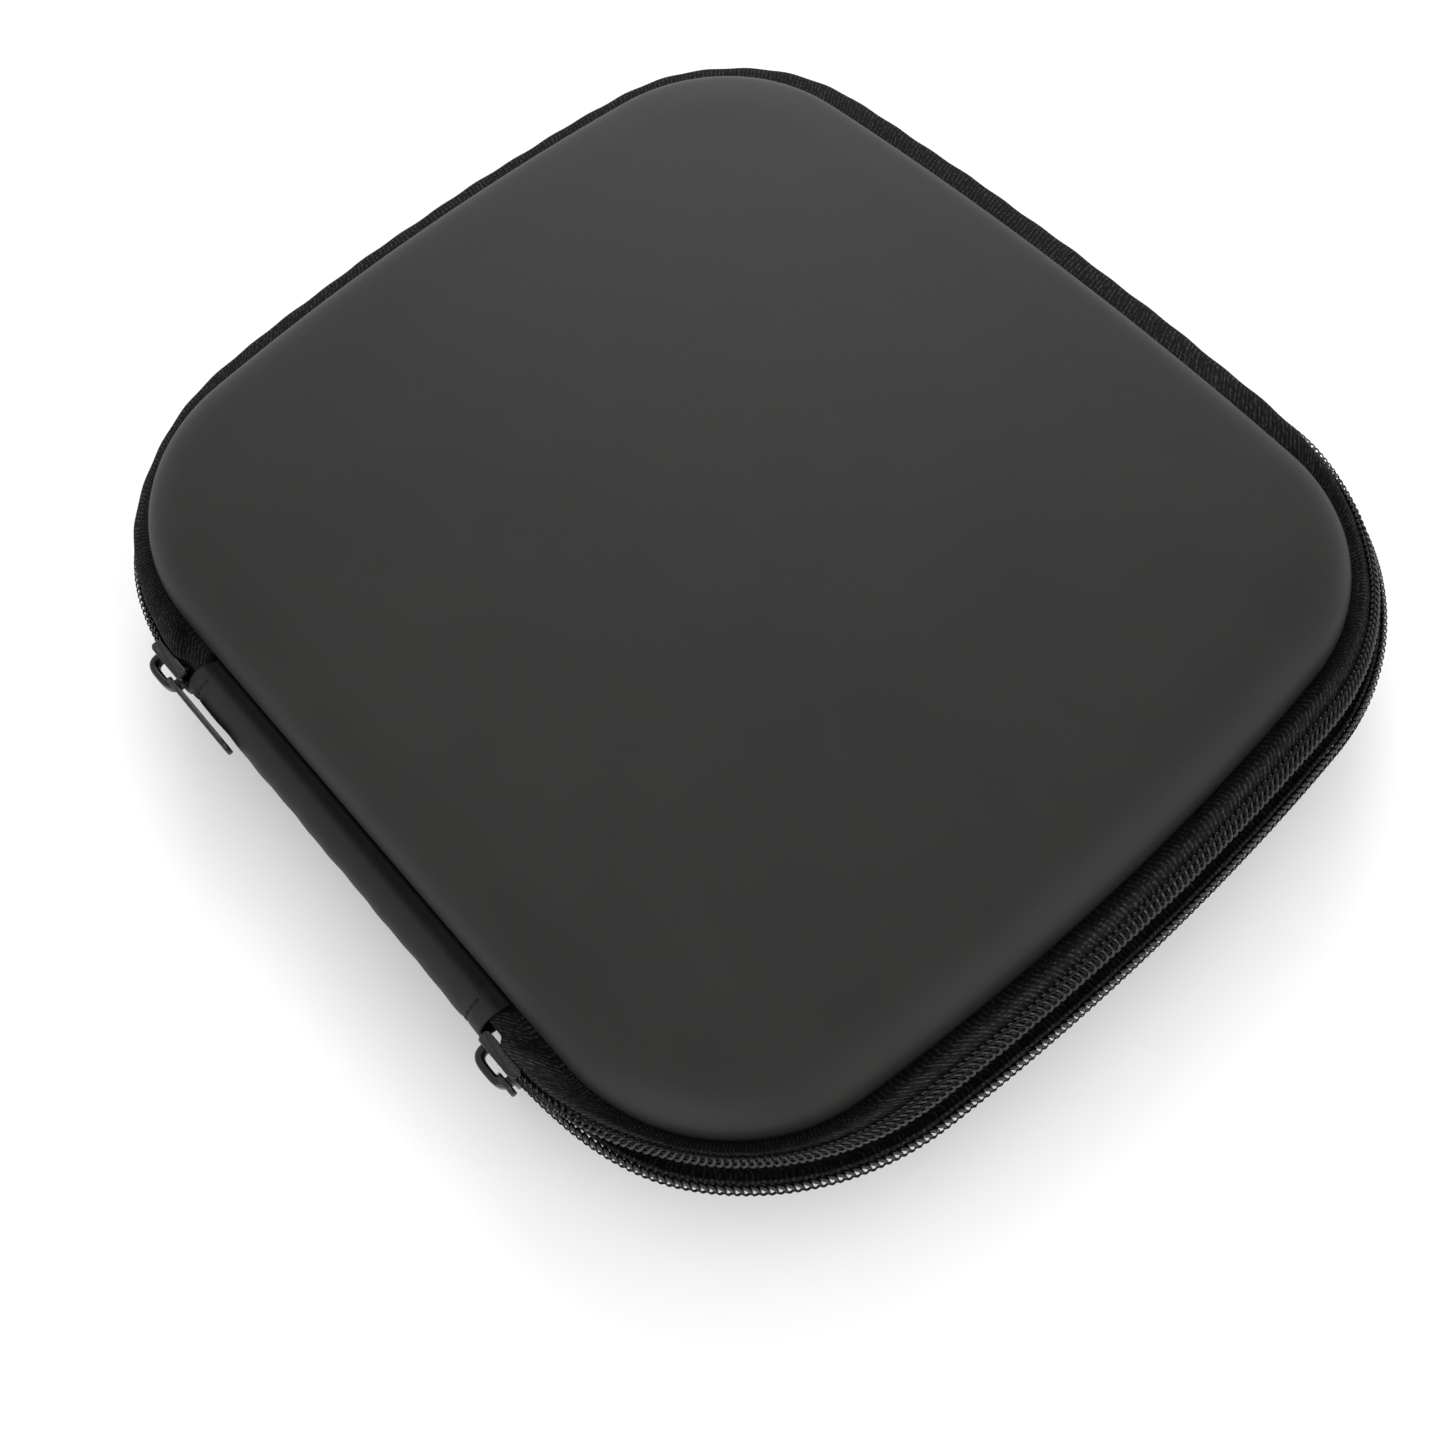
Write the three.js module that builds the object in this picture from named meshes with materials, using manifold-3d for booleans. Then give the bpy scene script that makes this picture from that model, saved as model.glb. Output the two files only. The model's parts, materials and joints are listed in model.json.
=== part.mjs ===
// Clamshell carrying case for a folded pair of headphones: two moulded foam shells with a leather-look
// skin, joined along a straight spine and closed by a two-slider nylon coil zipper round the rim.
//
// Frame, in millimetres: origin at the centre of the flat underside, +Z up, X along the spine.
// The spine is on the +Y side and the case opens at -Y. The two shells meet at z = RIM_Z.
//
// Cross-sections are written as [inset, height]: inset is the distance inwards from the case's outermost
// outline, and height is measured up from the plane where the two shells meet.

import * as THREE from 'three';
import { mergeVertices } from 'three/addons/utils/BufferGeometryUtils.js';
import Module from 'manifold-3d';

const wasm = await Module();
wasm.setup();

// ---- driving dimensions ----------------------------------------------------------------------------

const WIDTH = 220; // along the spine
const HALF_DEPTH = 99.8; // from the widest line to the front and to the back
const LID_HEIGHT = 17; // top of the lid above the meeting plane
const BASE_DEPTH = 23; // underside below the meeting plane
const RIM_Z = BASE_DEPTH;

const SIDE_RADIUS = 514; // slow curve of the left and right edges
const FRONT_RADIUS = 829; // slow curve of the opening edge
const BACK_RADIUS = 20000; // the spine edge is as good as straight
const FRONT_CORNER = 52;
const BACK_CORNER = 57;
const SHELL_TIGHTER = 6; // the moulded walls have corners this much tighter than the zipper's
const TIGHTEN_FROM = 4.4; // inset where the corners start to tighten towards the walls

const WALL_INSET = 8.6; // outer face of the moulded wall
const WALL_HEIGHT = 4.6; // where the wall starts to round over
const FILLET_REACH = 20; // how far the rounding reaches inwards

const SKIN = 0.7;
const FOAM = 2.6;
const LINING = 0.6;
const GAP = 0.3; // between pieces that touch

const FLANGE_EDGE = 7.4; // outer edge of the foam flange
const FLANGE_LOW = 1.5; // flange faces, above and below the meeting plane
const FLANGE_HIGH = 2.5;
const BINDING = 0.4; // ribbon on each flange's meeting face
const BINDING_EDGE = 8.6;
const TAPE = 0.7; // zipper tape thickness
const COIL_WIDTH = 3.4; // one side of the chain
const COIL_HEIGHT = 1.3;

const SPINE_LEFT = -43; // ends of the spine's cover strip
const SPINE_RIGHT = 49;
const SPINE_APEX = 1.9; // inset of the strip's outermost line
const SPINE_RADIUS = 4;

const SLIDER_LENGTH = 10.4;
const PARKED_X = { left: -49.3, right: 54.8 }; // middle of each slider beside the ends of the spine strip
const PARKED_INSET = 4.1; // middle of the slider's channel, drawn in line with the spine strip
const CHANNEL_OUT = 1.9; // from the middle of the channel to the outer plate
const CHANNEL_IN = 1.4; // and to the inner plate
const COIL_START = 0.9; // from a parked slider's end to the start of the coils and tapes
const PLATE = 0.9; // slider plate thickness
const BRIDGE_LENGTH = 8.4; // bridge that the puller hangs on
const BRIDGE_BAND = 1.1;
const BRIDGE_OUT = 3.5; // how far the bridge stands off its plate
const BRIDGE_TALL = 2.2;
const PULLER_LENGTH = 19;
const PULLER_WIDTH = 5.2;
const PULLER_THICK = 1.1;
const PULLER_WINDOW = 2.8;
const PULLER_LEAN = THREE.MathUtils.degToRad(17); // of the hanging puller, from straight down

const POCKET_EDGE_Y = 34; // open edge of the net pocket
const POCKET_HEIGHT = 1.6; // net above the meeting plane
const NET = 0.6;

// Number of straight steps along each stretch of the outline.
const SHELL_STEPS = { side: 4, corner: 7, end: 4 };
const ZIP_STEPS = { side: 4, corner: 12, end: 4 };
const FILLET_STEPS = 4;
const ARC_STEPS = 5;

const LEATHER = { color: 0x464543, roughness: 0.62, metalness: 0 };
const FOAM_LOOK = { color: 0x2a2a2a, roughness: 0.95, metalness: 0 };
const FABRIC = { color: 0x33343a, roughness: 0.95, metalness: 0 };
const TAPE_LOOK = { color: 0x1d1c1e, roughness: 0.9, metalness: 0 };
const NYLON = { color: 0x17141a, roughness: 0.35, metalness: 0 };
const METAL = { color: 0x0c0c0d, roughness: 0.18, metalness: 0.6 };

// ---- outline ---------------------------------------------------------------------------------------

// One quarter of the outline, from the middle of the side to the middle of the end: a side arc, a corner
// arc and an end arc, each tangent to the next.
function quarter(inset, cornerRadius, endRadius) {
  const nearness = (inset - TIGHTEN_FROM) / (WALL_INSET - TIGHTEN_FROM);
  const tighten = SHELL_TIGHTER * THREE.MathUtils.clamp(nearness, 0, 1);
  const half = WIDTH / 2 - inset;
  const depth = HALF_DEPTH - inset;
  const side = SIDE_RADIUS - inset;
  const end = endRadius - inset;
  const corner = cornerRadius - inset - tighten;
  const sideCentre = new THREE.Vector2(half - side, 0);
  const endCentre = new THREE.Vector2(0, depth - end);
  const across = endCentre.clone().sub(sideCentre);
  const apart = across.length();
  const along = ((side - corner) ** 2 - (end - corner) ** 2 + apart ** 2) / (2 * apart);
  const off = Math.sqrt((side - corner) ** 2 - along ** 2);
  across.normalize();
  const foot = sideCentre.clone().addScaledVector(across, along);
  const square = new THREE.Vector2(-across.y, across.x);
  const candidates = [off, -off].map((step) => foot.clone().addScaledVector(square, step));
  const cornerCentre = candidates.find((point) => point.x > 0 && point.y > 0);
  const sideTurn = cornerCentre.clone().sub(sideCentre).angle();
  const endTurn = cornerCentre.clone().sub(endCentre).angle();
  return {
    side: { centre: sideCentre, radius: side, from: 0, to: sideTurn },
    corner: { centre: cornerCentre, radius: corner, from: sideTurn, to: endTurn },
    end: { centre: endCentre, radius: end, from: endTurn, to: Math.PI / 2 },
  };
}

function arcPoints(arc, steps) {
  const points = [];
  for (let i = 0; i <= steps; i += 1) {
    const angle = arc.from + ((arc.to - arc.from) * i) / steps;
    points.push(new THREE.Vector2(
      arc.centre.x + arc.radius * Math.cos(angle),
      arc.centre.y + arc.radius * Math.sin(angle),
    ));
  }
  return points;
}

// Points of one quarter, mirrored into place, from the middle of the end to the middle of the side.
function quarterPoints(inset, back, mirror, steps) {
  const arcs = quarter(inset, back ? BACK_CORNER : FRONT_CORNER, back ? BACK_RADIUS : FRONT_RADIUS);
  const chain = [
    ...arcPoints(arcs.side, steps.side),
    ...arcPoints(arcs.corner, steps.corner).slice(1),
    ...arcPoints(arcs.end, steps.end).slice(1),
  ].reverse();
  return chain.map((point) => new THREE.Vector2(mirror * point.x, (back ? 1 : -1) * point.y));
}

// The whole outline at an inset, from the middle of the spine round by -X, the front and +X.
function outline(inset, steps) {
  const left = quarterPoints(inset, true, -1, steps);
  const frontLeft = quarterPoints(inset, false, -1, steps).reverse();
  const frontRight = quarterPoints(inset, false, 1, steps);
  const right = quarterPoints(inset, true, 1, steps).reverse();
  return [...left, ...frontLeft.slice(1), ...frontRight.slice(1), ...right.slice(1, -1)];
}

// The outline without its stretch between two x positions on the spine edge.
function openOutline(inset, leftX, rightX) {
  const ring = outline(inset, ZIP_STEPS);
  const backY = HALF_DEPTH - inset;
  const nearBack = (point) => point.y > backY - 12;
  const kept = ring.filter((point) => !(nearBack(point) && point.x > leftX - 1 && point.x < rightX + 1));
  return [new THREE.Vector2(leftX, backY), ...kept, new THREE.Vector2(rightX, backY)];
}

// ---- solids ----------------------------------------------------------------------------------------

function geometryFrom(positions, triangles) {
  const geometry = new THREE.BufferGeometry();
  geometry.setAttribute('position', new THREE.Float32BufferAttribute(positions, 3));
  geometry.setIndex(triangles);
  return geometry;
}

function signedVolume(geometry) {
  const position = geometry.getAttribute('position');
  const index = geometry.getIndex();
  const corners = [new THREE.Vector3(), new THREE.Vector3(), new THREE.Vector3()];
  let total = 0;
  for (let i = 0; i < index.count; i += 3) {
    corners.forEach((corner, k) => corner.fromBufferAttribute(position, index.getX(i + k)));
    total += corners[0].dot(corners[1].clone().cross(corners[2]));
  }
  return total;
}

// Turns every triangle round where a closed surface was built inside out.
function facingOut(geometry) {
  if (signedVolume(geometry) < 0) {
    const index = geometry.getIndex();
    for (let i = 0; i < index.count; i += 3) {
      const second = index.getX(i + 1);
      index.setX(i + 1, index.getX(i + 2));
      index.setX(i + 2, second);
    }
  }
  geometry.computeVertexNormals();
  return geometry;
}

// Joins a row of rings of equal length into a surface.
function skinRings(rings, closedAround, closedAcross) {
  const count = rings[0].length;
  const positions = rings.flat().flatMap((point) => point.toArray());
  const triangles = [];
  const rows = closedAcross ? rings.length : rings.length - 1;
  const columns = closedAround ? count : count - 1;
  for (let row = 0; row < rows; row += 1) {
    const next = ((row + 1) % rings.length) * count;
    for (let column = 0; column < columns; column += 1) {
      const after = (column + 1) % count;
      const [a, b, c, d] = [row * count + column, row * count + after, next + after, next + column];
      triangles.push(a, b, c, a, c, d);
    }
  }
  return { positions, triangles, count };
}

// A bowl-shaped shell: rings from the middle of the outer face, over the rim, to the middle of the inner.
function bowl(section, towards) {
  const rings = section.map(([inset, height]) => outline(inset, SHELL_STEPS)
    .map((point) => new THREE.Vector3(point.x, point.y, RIM_Z + towards * height)));
  const { positions, triangles, count } = skinRings(rings, true, false);
  const outerMiddle = positions.length / 3;
  const innerMiddle = outerMiddle + 1;
  positions.push(0, 0, rings[0][0].z);
  positions.push(0, 0, rings.at(-1)[0].z);
  for (let i = 0; i < count; i += 1) {
    const after = (i + 1) % count;
    const last = (rings.length - 1) * count;
    triangles.push(outerMiddle, after, i);
    triangles.push(innerMiddle, last + i, last + after);
  }
  return facingOut(geometryFrom(positions, triangles));
}

// A band all the way round the rim, with the given cross-section.
function closedBand(section, towards) {
  const rings = section.map(([inset, height]) => outline(inset, SHELL_STEPS)
    .map((point) => new THREE.Vector3(point.x, point.y, RIM_Z + towards * height)));
  const { positions, triangles } = skinRings(rings, true, true);
  return facingOut(geometryFrom(positions, triangles));
}

// A band round the rim that is open at the spine, with flat ends.
function openBand(section, leftX, rightX) {
  const rings = section.map(([inset, height]) => openOutline(inset, leftX, rightX)
    .map((point) => new THREE.Vector3(point.x, point.y, RIM_Z + height)));
  const { positions, triangles, count } = skinRings(rings, false, true);
  const flat = section.map(([inset, height]) => new THREE.Vector2(inset, height));
  const clockwise = THREE.ShapeUtils.isClockWise(flat);
  const caps = THREE.ShapeUtils.triangulateShape(clockwise ? [...flat].reverse() : flat, []);
  const row = (i) => (clockwise ? flat.length - 1 - i : i);
  caps.forEach(([a, b, c]) => {
    const start = [row(a) * count, row(b) * count, row(c) * count];
    const end = start.map((vertex) => vertex + count - 1);
    triangles.push(...(clockwise ? [...start].reverse() : start));
    triangles.push(...(clockwise ? end : [...end].reverse()));
  });
  return facingOut(geometryFrom(positions, triangles));
}

// A straight length along X with a cross-section given as [inset from the spine edge, height].
function alongSpine(section, leftX, rightX) {
  const shape = new THREE.Shape(section.map(([inset, height]) => new THREE.Vector2(inset, height)));
  const geometry = new THREE.ExtrudeGeometry(shape, { depth: rightX - leftX, bevelEnabled: false });
  const place = new THREE.Matrix4().makeBasis(
    new THREE.Vector3(0, -1, 0),
    new THREE.Vector3(0, 0, 1),
    new THREE.Vector3(-1, 0, 0),
  );
  place.setPosition(rightX, HALF_DEPTH, RIM_Z);
  geometry.applyMatrix4(place);
  return geometry;
}

function toManifold(geometry) {
  const plain = geometry.index ? geometry.toNonIndexed() : geometry.clone();
  plain.deleteAttribute('normal');
  plain.deleteAttribute('uv');
  const merged = mergeVertices(plain, 1e-5);
  return new wasm.Manifold(new wasm.Mesh({
    numProp: 3,
    vertProperties: new Float32Array(merged.getAttribute('position').array),
    triVerts: new Uint32Array(merged.getIndex().array),
  }));
}

function fromManifold(manifold) {
  const mesh = manifold.getMesh();
  return facingOut(geometryFrom(Array.from(mesh.vertProperties), Array.from(mesh.triVerts)));
}

function joined(geometries) {
  return fromManifold(geometries.map(toManifold).reduce((whole, piece) => whole.add(piece)));
}

// A box whose low corner and size are given.
function boxAt(low, size) {
  const geometry = new THREE.BoxGeometry(...size);
  geometry.translate(...low.map((value, i) => value + size[i] / 2));
  return geometry;
}

function named(name, geometry, look) {
  const mesh = new THREE.Mesh(geometry, new THREE.MeshStandardMaterial(look));
  mesh.name = name;
  return mesh;
}

// ---- moulded shells --------------------------------------------------------------------------------

// One face of a shell, set in from the outer skin by a distance: middle, rounding, wall and rim.
function shellFace(total, setIn, rimHeight) {
  const rise = total - WALL_HEIGHT - setIn;
  const reach = FILLET_REACH - setIn;
  const face = [];
  for (let i = FILLET_STEPS; i >= 0; i -= 1) {
    const angle = (i / FILLET_STEPS) * (Math.PI / 2);
    const inwards = WALL_INSET + setIn + reach * (1 - Math.cos(angle));
    face.push([inwards, WALL_HEIGHT + rise * Math.sin(angle)]);
  }
  face.push([WALL_INSET + setIn, rimHeight]);
  return face;
}

function shellLayer(total, outer, inner, outerRim, innerRim, flange = []) {
  return [
    ...shellFace(total, outer, outerRim),
    ...flange,
    ...shellFace(total, inner, innerRim).reverse(),
  ];
}

function skinGeometry(total, towards) {
  const rim = FLANGE_HIGH + GAP;
  return bowl(shellLayer(total, 0, SKIN, rim, rim), towards);
}

function coreGeometry(total, towards) {
  const outer = SKIN + GAP;
  const flange = [[FLANGE_EDGE, FLANGE_HIGH], [FLANGE_EDGE, FLANGE_LOW]];
  return bowl(shellLayer(total, outer, outer + FOAM, FLANGE_HIGH, FLANGE_LOW, flange), towards);
}

function liningGeometry(total, towards) {
  const outer = SKIN + FOAM + 2 * GAP;
  const rim = FLANGE_LOW - GAP - BINDING;
  return bowl(shellLayer(total, outer, outer + LINING, rim, rim), towards);
}

// Ribbon that covers the seam on the flange's meeting face, out to the flange's edge.
function bindingGeometry(towards) {
  const inner = WALL_INSET + SKIN + FOAM + GAP;
  const high = FLANGE_LOW - GAP;
  const low = high - BINDING;
  const section = [[BINDING_EDGE, low], [BINDING_EDGE, high], [inner, high], [inner, low]];
  return closedBand(section, towards);
}

// ---- zipper tapes and coils ------------------------------------------------------------------------

// Middle lines of the two tapes, from beside the moulded wall out to the edge that carries the coil.
const LID_TAPE_LINE = [[8.1, 3.2], [6.7, 3.75], [5.3, 3.8], [2.6, 2.0]];
const BASE_TAPE_LINE = [[8.1, -3.2], [6.2, -3.9], [3.9, -4.8], [2.2, -4.1], [1.95, -0.9]];

// A ribbon's cross-section: its middle line thickened to both sides.
function ribbonSection(line, thickness) {
  const normalAt = (i) => {
    const before = line[Math.max(i - 1, 0)];
    const after = line[Math.min(i + 1, line.length - 1)];
    return new THREE.Vector2(after[1] - before[1], before[0] - after[0]).normalize();
  };
  const offset = (side) => line.map(([inset, height], i) => {
    const normal = normalAt(i);
    const step = (side * thickness) / 2;
    return [inset + normal.x * step, height + normal.y * step];
  });
  return [...offset(1), ...offset(-1).reverse()];
}

// The coil's cross-section: a rectangle with its edges taken off, lying along a line from its stitched
// edge to its tooth heads, on the outer side of the tape.
function coilSection(stitched, heads, outward) {
  const along = new THREE.Vector2(heads[0] - stitched[0], heads[1] - stitched[1]).normalize();
  const normal = new THREE.Vector2(...outward).normalize();
  const lift = TAPE / 2 + GAP;
  const chamfer = 0.35;
  const corner = (run, rise) => [
    stitched[0] + along.x * run + normal.x * (lift + rise),
    stitched[1] + along.y * run + normal.y * (lift + rise),
  ];
  return [
    corner(0, 0),
    corner(COIL_WIDTH, 0),
    corner(COIL_WIDTH, COIL_HEIGHT - chamfer),
    corner(COIL_WIDTH - chamfer, COIL_HEIGHT),
    corner(chamfer, COIL_HEIGHT),
    corner(0, COIL_HEIGHT - chamfer),
  ];
}

function lidCoilSection() {
  const [, , [inset, height], [edgeInset, edgeHeight]] = LID_TAPE_LINE;
  const along = new THREE.Vector2(edgeInset - inset, edgeHeight - height).normalize();
  const heads = [inset + along.x * COIL_WIDTH, height + along.y * COIL_WIDTH];
  return coilSection([inset, height], heads, [along.y, -along.x]);
}

function baseCoilSection() {
  const edge = BASE_TAPE_LINE.at(-1);
  const heads = -0.5;
  return coilSection([edge[0], heads - COIL_WIDTH], [edge[0], heads], [-1, 0]);
}

// ---- spine -----------------------------------------------------------------------------------------

// Leather-look strip: a half round over the two flange edges, with both edges tucked against the walls.
function spineCoverSection() {
  const centre = SPINE_APEX + SPINE_RADIUS;
  const steps = 12;
  const half = (radius, edgeHeight) => {
    const points = [[WALL_INSET - GAP, edgeHeight]];
    for (let i = 0; i <= steps; i += 1) {
      const angle = Math.PI / 2 + (Math.PI * i) / steps;
      points.push([centre + radius * Math.cos(angle), radius * Math.sin(angle)]);
    }
    points.push([WALL_INSET - GAP, -edgeHeight]);
    return points;
  };
  return [...half(SPINE_RADIUS, 3.5), ...half(SPINE_RADIUS - 0.9, FLANGE_HIGH + GAP).reverse()];
}

// Fabric folded in two between the flanges, so that the shells can be laid out flat.
function spineGussetSection() {
  const inner = WALL_INSET + SKIN + FOAM + GAP;
  const outer = FLANGE_EDGE - 1.2;
  const far = 0.5;
  const near = 0.1;
  return [
    [inner, far], [outer + 0.3, far], [outer, 0.2], [outer, -0.2], [outer + 0.3, -far],
    [inner, -far], [inner, -near], [outer + 0.5, -near], [outer + 0.5, near], [inner, near],
  ];
}

// ---- sliders and pullers ---------------------------------------------------------------------------

const HALF_SLIDER = SLIDER_LENGTH / 2;
const PLATE_FACE = CHANNEL_OUT + PLATE; // outer face of the outer plate, from the middle of the channel
const PLATE_REACH = 3.9; // the outer plate above and below its middle
const SLIDER_MIDDLE = 0.5; // height of the slider's middle above the meeting plane

// The bridge that carries the puller: an arch along the slider with one opening, seen from above.
function bridgeShape() {
  const corner = 1.8;
  const archAt = (path, half, foot, top, radius) => {
    path.moveTo(-half, foot);
    path.lineTo(half, foot);
    path.lineTo(half, top - radius);
    path.absarc(half - radius, top - radius, radius, 0, Math.PI / 2, false);
    path.lineTo(-half + radius, top);
    path.absarc(-half + radius, top - radius, radius, Math.PI / 2, Math.PI, false);
    path.closePath();
  };
  const shape = new THREE.Shape();
  archAt(shape, BRIDGE_LENGTH / 2, PLATE_FACE - PLATE / 2, PLATE_FACE + BRIDGE_OUT, corner);
  const opening = new THREE.Path();
  const top = PLATE_FACE + BRIDGE_OUT - BRIDGE_BAND;
  archAt(opening, BRIDGE_LENGTH / 2 - BRIDGE_BAND, PLATE_FACE, top, corner - BRIDGE_BAND);
  shape.holes.push(opening);
  return shape;
}

// A slider in its own frame: X along the track, Y outwards, Z up, origin in the middle of its channel.
function sliderGeometry() {
  const innerThick = 0.7;
  const innerLow = -1.8;
  const innerTall = 2.3;
  const postLength = 4;
  const postLow = -0.5;
  const postTall = 1;
  const outerPlate = boxAt(
    [-HALF_SLIDER, CHANNEL_OUT, -PLATE_REACH],
    [SLIDER_LENGTH, PLATE, 2 * PLATE_REACH],
  );
  const innerPlate = boxAt(
    [-HALF_SLIDER + innerThick, -CHANNEL_IN - innerThick, innerLow],
    [SLIDER_LENGTH - 2 * innerThick, innerThick, innerTall],
  );
  const post = boxAt(
    [-postLength / 2, -CHANNEL_IN - innerThick / 2, postLow],
    [postLength, CHANNEL_IN + PLATE_FACE, postTall],
  );
  const bridge = new THREE.ExtrudeGeometry(bridgeShape(), {
    depth: BRIDGE_TALL,
    bevelEnabled: false,
    curveSegments: ARC_STEPS,
  });
  bridge.translate(0, 0, -BRIDGE_TALL / 2);
  return joined([outerPlate, innerPlate, post, bridge]);
}

// A flat puller in its own frame: eye round the origin, tab towards -X, faces across Z.
function pullerGeometry() {
  const half = PULLER_WIDTH / 2;
  const windowHalf = PULLER_WINDOW / 2;
  const windowEnd = 3.6;
  const shape = new THREE.Shape();
  shape.absarc(0, 0, half, -Math.PI / 2, Math.PI / 2, false);
  shape.absarc(-PULLER_LENGTH + half, 0, half, Math.PI / 2, (3 * Math.PI) / 2, false);
  shape.closePath();
  const eye = new THREE.Path();
  eye.absarc(0, 0, windowHalf, -Math.PI / 2, Math.PI / 2, false);
  eye.lineTo(-windowEnd, windowHalf);
  eye.lineTo(-windowEnd, -windowHalf);
  eye.closePath();
  shape.holes.push(eye);
  const geometry = new THREE.ExtrudeGeometry(shape, {
    depth: PULLER_THICK,
    bevelEnabled: false,
    curveSegments: 2 * ARC_STEPS,
  });
  geometry.translate(0, 0, -PULLER_THICK / 2);
  return geometry;
}

function sliderFrame(side) {
  const group = new THREE.Group();
  group.position.set(PARKED_X[side], HALF_DEPTH - PARKED_INSET, RIM_Z + SLIDER_MIDDLE);
  group.add(named(`slider_${side}`, sliderGeometry(), METAL));
  return group;
}

// The right puller lies along the spine, its eye round the bridge's near leg. It turns about that leg.
function rightSlider() {
  const group = sliderFrame('right');
  const geometry = pullerGeometry();
  geometry.rotateX(Math.PI / 2);
  const puller = named('puller_right', geometry, METAL);
  const leg = -BRIDGE_LENGTH / 2 + BRIDGE_BAND / 2;
  puller.position.set(leg, PLATE_FACE + (BRIDGE_OUT - BRIDGE_BAND) / 2, 0);
  group.add(puller);
  return group;
}

// The left puller hangs from the leg at the coils' end of its bridge, its far end towards the spine.
function leftSlider() {
  const group = sliderFrame('left');
  const geometry = pullerGeometry();
  geometry.rotateX(Math.PI / 2);
  geometry.rotateY(-Math.PI / 2 - PULLER_LEAN);
  const puller = named('puller_left', geometry, METAL);
  const leg = -BRIDGE_LENGTH / 2 + BRIDGE_BAND / 2;
  puller.position.set(leg, PLATE_FACE + (BRIDGE_OUT - BRIDGE_BAND) / 2, 0);
  group.add(puller);
  return group;
}

// ---- net pocket ------------------------------------------------------------------------------------

const POCKET_INSET = WALL_INSET + SKIN + FOAM + LINING + 4 * GAP;

// Outline of the net: the lid's inside edge, cut straight across at the open side.
function pocketOutline() {
  const ring = outline(POCKET_INSET, SHELL_STEPS);
  const front = ring.filter((point) => point.y < POCKET_EDGE_Y);
  const left = new THREE.Vector2(front[0].x, POCKET_EDGE_Y);
  const right = new THREE.Vector2(front.at(-1).x, POCKET_EDGE_Y);
  return [left, ...front, right];
}

function netGeometry() {
  const shape = new THREE.Shape(pocketOutline());
  const geometry = new THREE.ExtrudeGeometry(shape, { depth: NET, bevelEnabled: false });
  geometry.translate(0, 0, RIM_Z + POCKET_HEIGHT);
  return geometry;
}

function elasticGeometry() {
  const edge = pocketOutline();
  const left = edge[0].x + 1;
  const right = edge.at(-1).x - 1;
  const tall = 1.4;
  const wide = 9;
  const low = RIM_Z + POCKET_HEIGHT + NET / 2 - tall / 2;
  return boxAt([left, POCKET_EDGE_Y + GAP, low], [right - left, wide, tall]);
}

// ---- the case --------------------------------------------------------------------------------------

const headphoneCase = new THREE.Group();

// Coils and tapes run round from one parked slider to the other.
const ZIP_ENDS = [PARKED_X.left - HALF_SLIDER - COIL_START, PARKED_X.right + HALF_SLIDER + COIL_START];

const lid = new THREE.Group();
lid.add(
  named('lid_skin', skinGeometry(LID_HEIGHT, 1), LEATHER),
  named('lid_foam_shell', coreGeometry(LID_HEIGHT, 1), FOAM_LOOK),
  named('lid_lining', liningGeometry(LID_HEIGHT, 1), FABRIC),
  named('lid_seam_binding', bindingGeometry(1), TAPE_LOOK),
  named('lid_zipper_tape', openBand(ribbonSection(LID_TAPE_LINE, TAPE), ...ZIP_ENDS), TAPE_LOOK),
  named('lid_zipper_coil', openBand(lidCoilSection(), ...ZIP_ENDS), NYLON),
  named('lid_pocket_net', netGeometry(), FABRIC),
  named('lid_pocket_elastic', elasticGeometry(), TAPE_LOOK),
);

const base = new THREE.Group();
base.add(
  named('base_skin', skinGeometry(BASE_DEPTH, -1), LEATHER),
  named('base_foam_shell', coreGeometry(BASE_DEPTH, -1), FOAM_LOOK),
  named('base_lining', liningGeometry(BASE_DEPTH, -1), FABRIC),
  named('base_seam_binding', bindingGeometry(-1), TAPE_LOOK),
  named('base_zipper_tape', openBand(ribbonSection(BASE_TAPE_LINE, TAPE), ...ZIP_ENDS), TAPE_LOOK),
  named('base_zipper_coil', openBand(baseCoilSection(), ...ZIP_ENDS), NYLON),
);

const spine = new THREE.Group();
spine.add(
  named('spine_cover', alongSpine(spineCoverSection(), SPINE_LEFT, SPINE_RIGHT), LEATHER),
  named('spine_gusset', alongSpine(spineGussetSection(), SPINE_LEFT, SPINE_RIGHT), FABRIC),
);

headphoneCase.add(lid, base, spine, leftSlider(), rightSlider());

export default headphoneCase;
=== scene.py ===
"""Visual model of the headphone carrying case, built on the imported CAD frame.

Cross-sections are written as (inset, height) in millimetres: inset is the distance inwards from the
case's outermost outline, and height is measured up from the plane where the two shells meet.
Positions along the rim are lengths in millimetres from the middle of the spine, round by -X.
"""

import json
import math

import bmesh
import bpy
import numpy as np
from mathutils import Matrix, Vector


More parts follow.
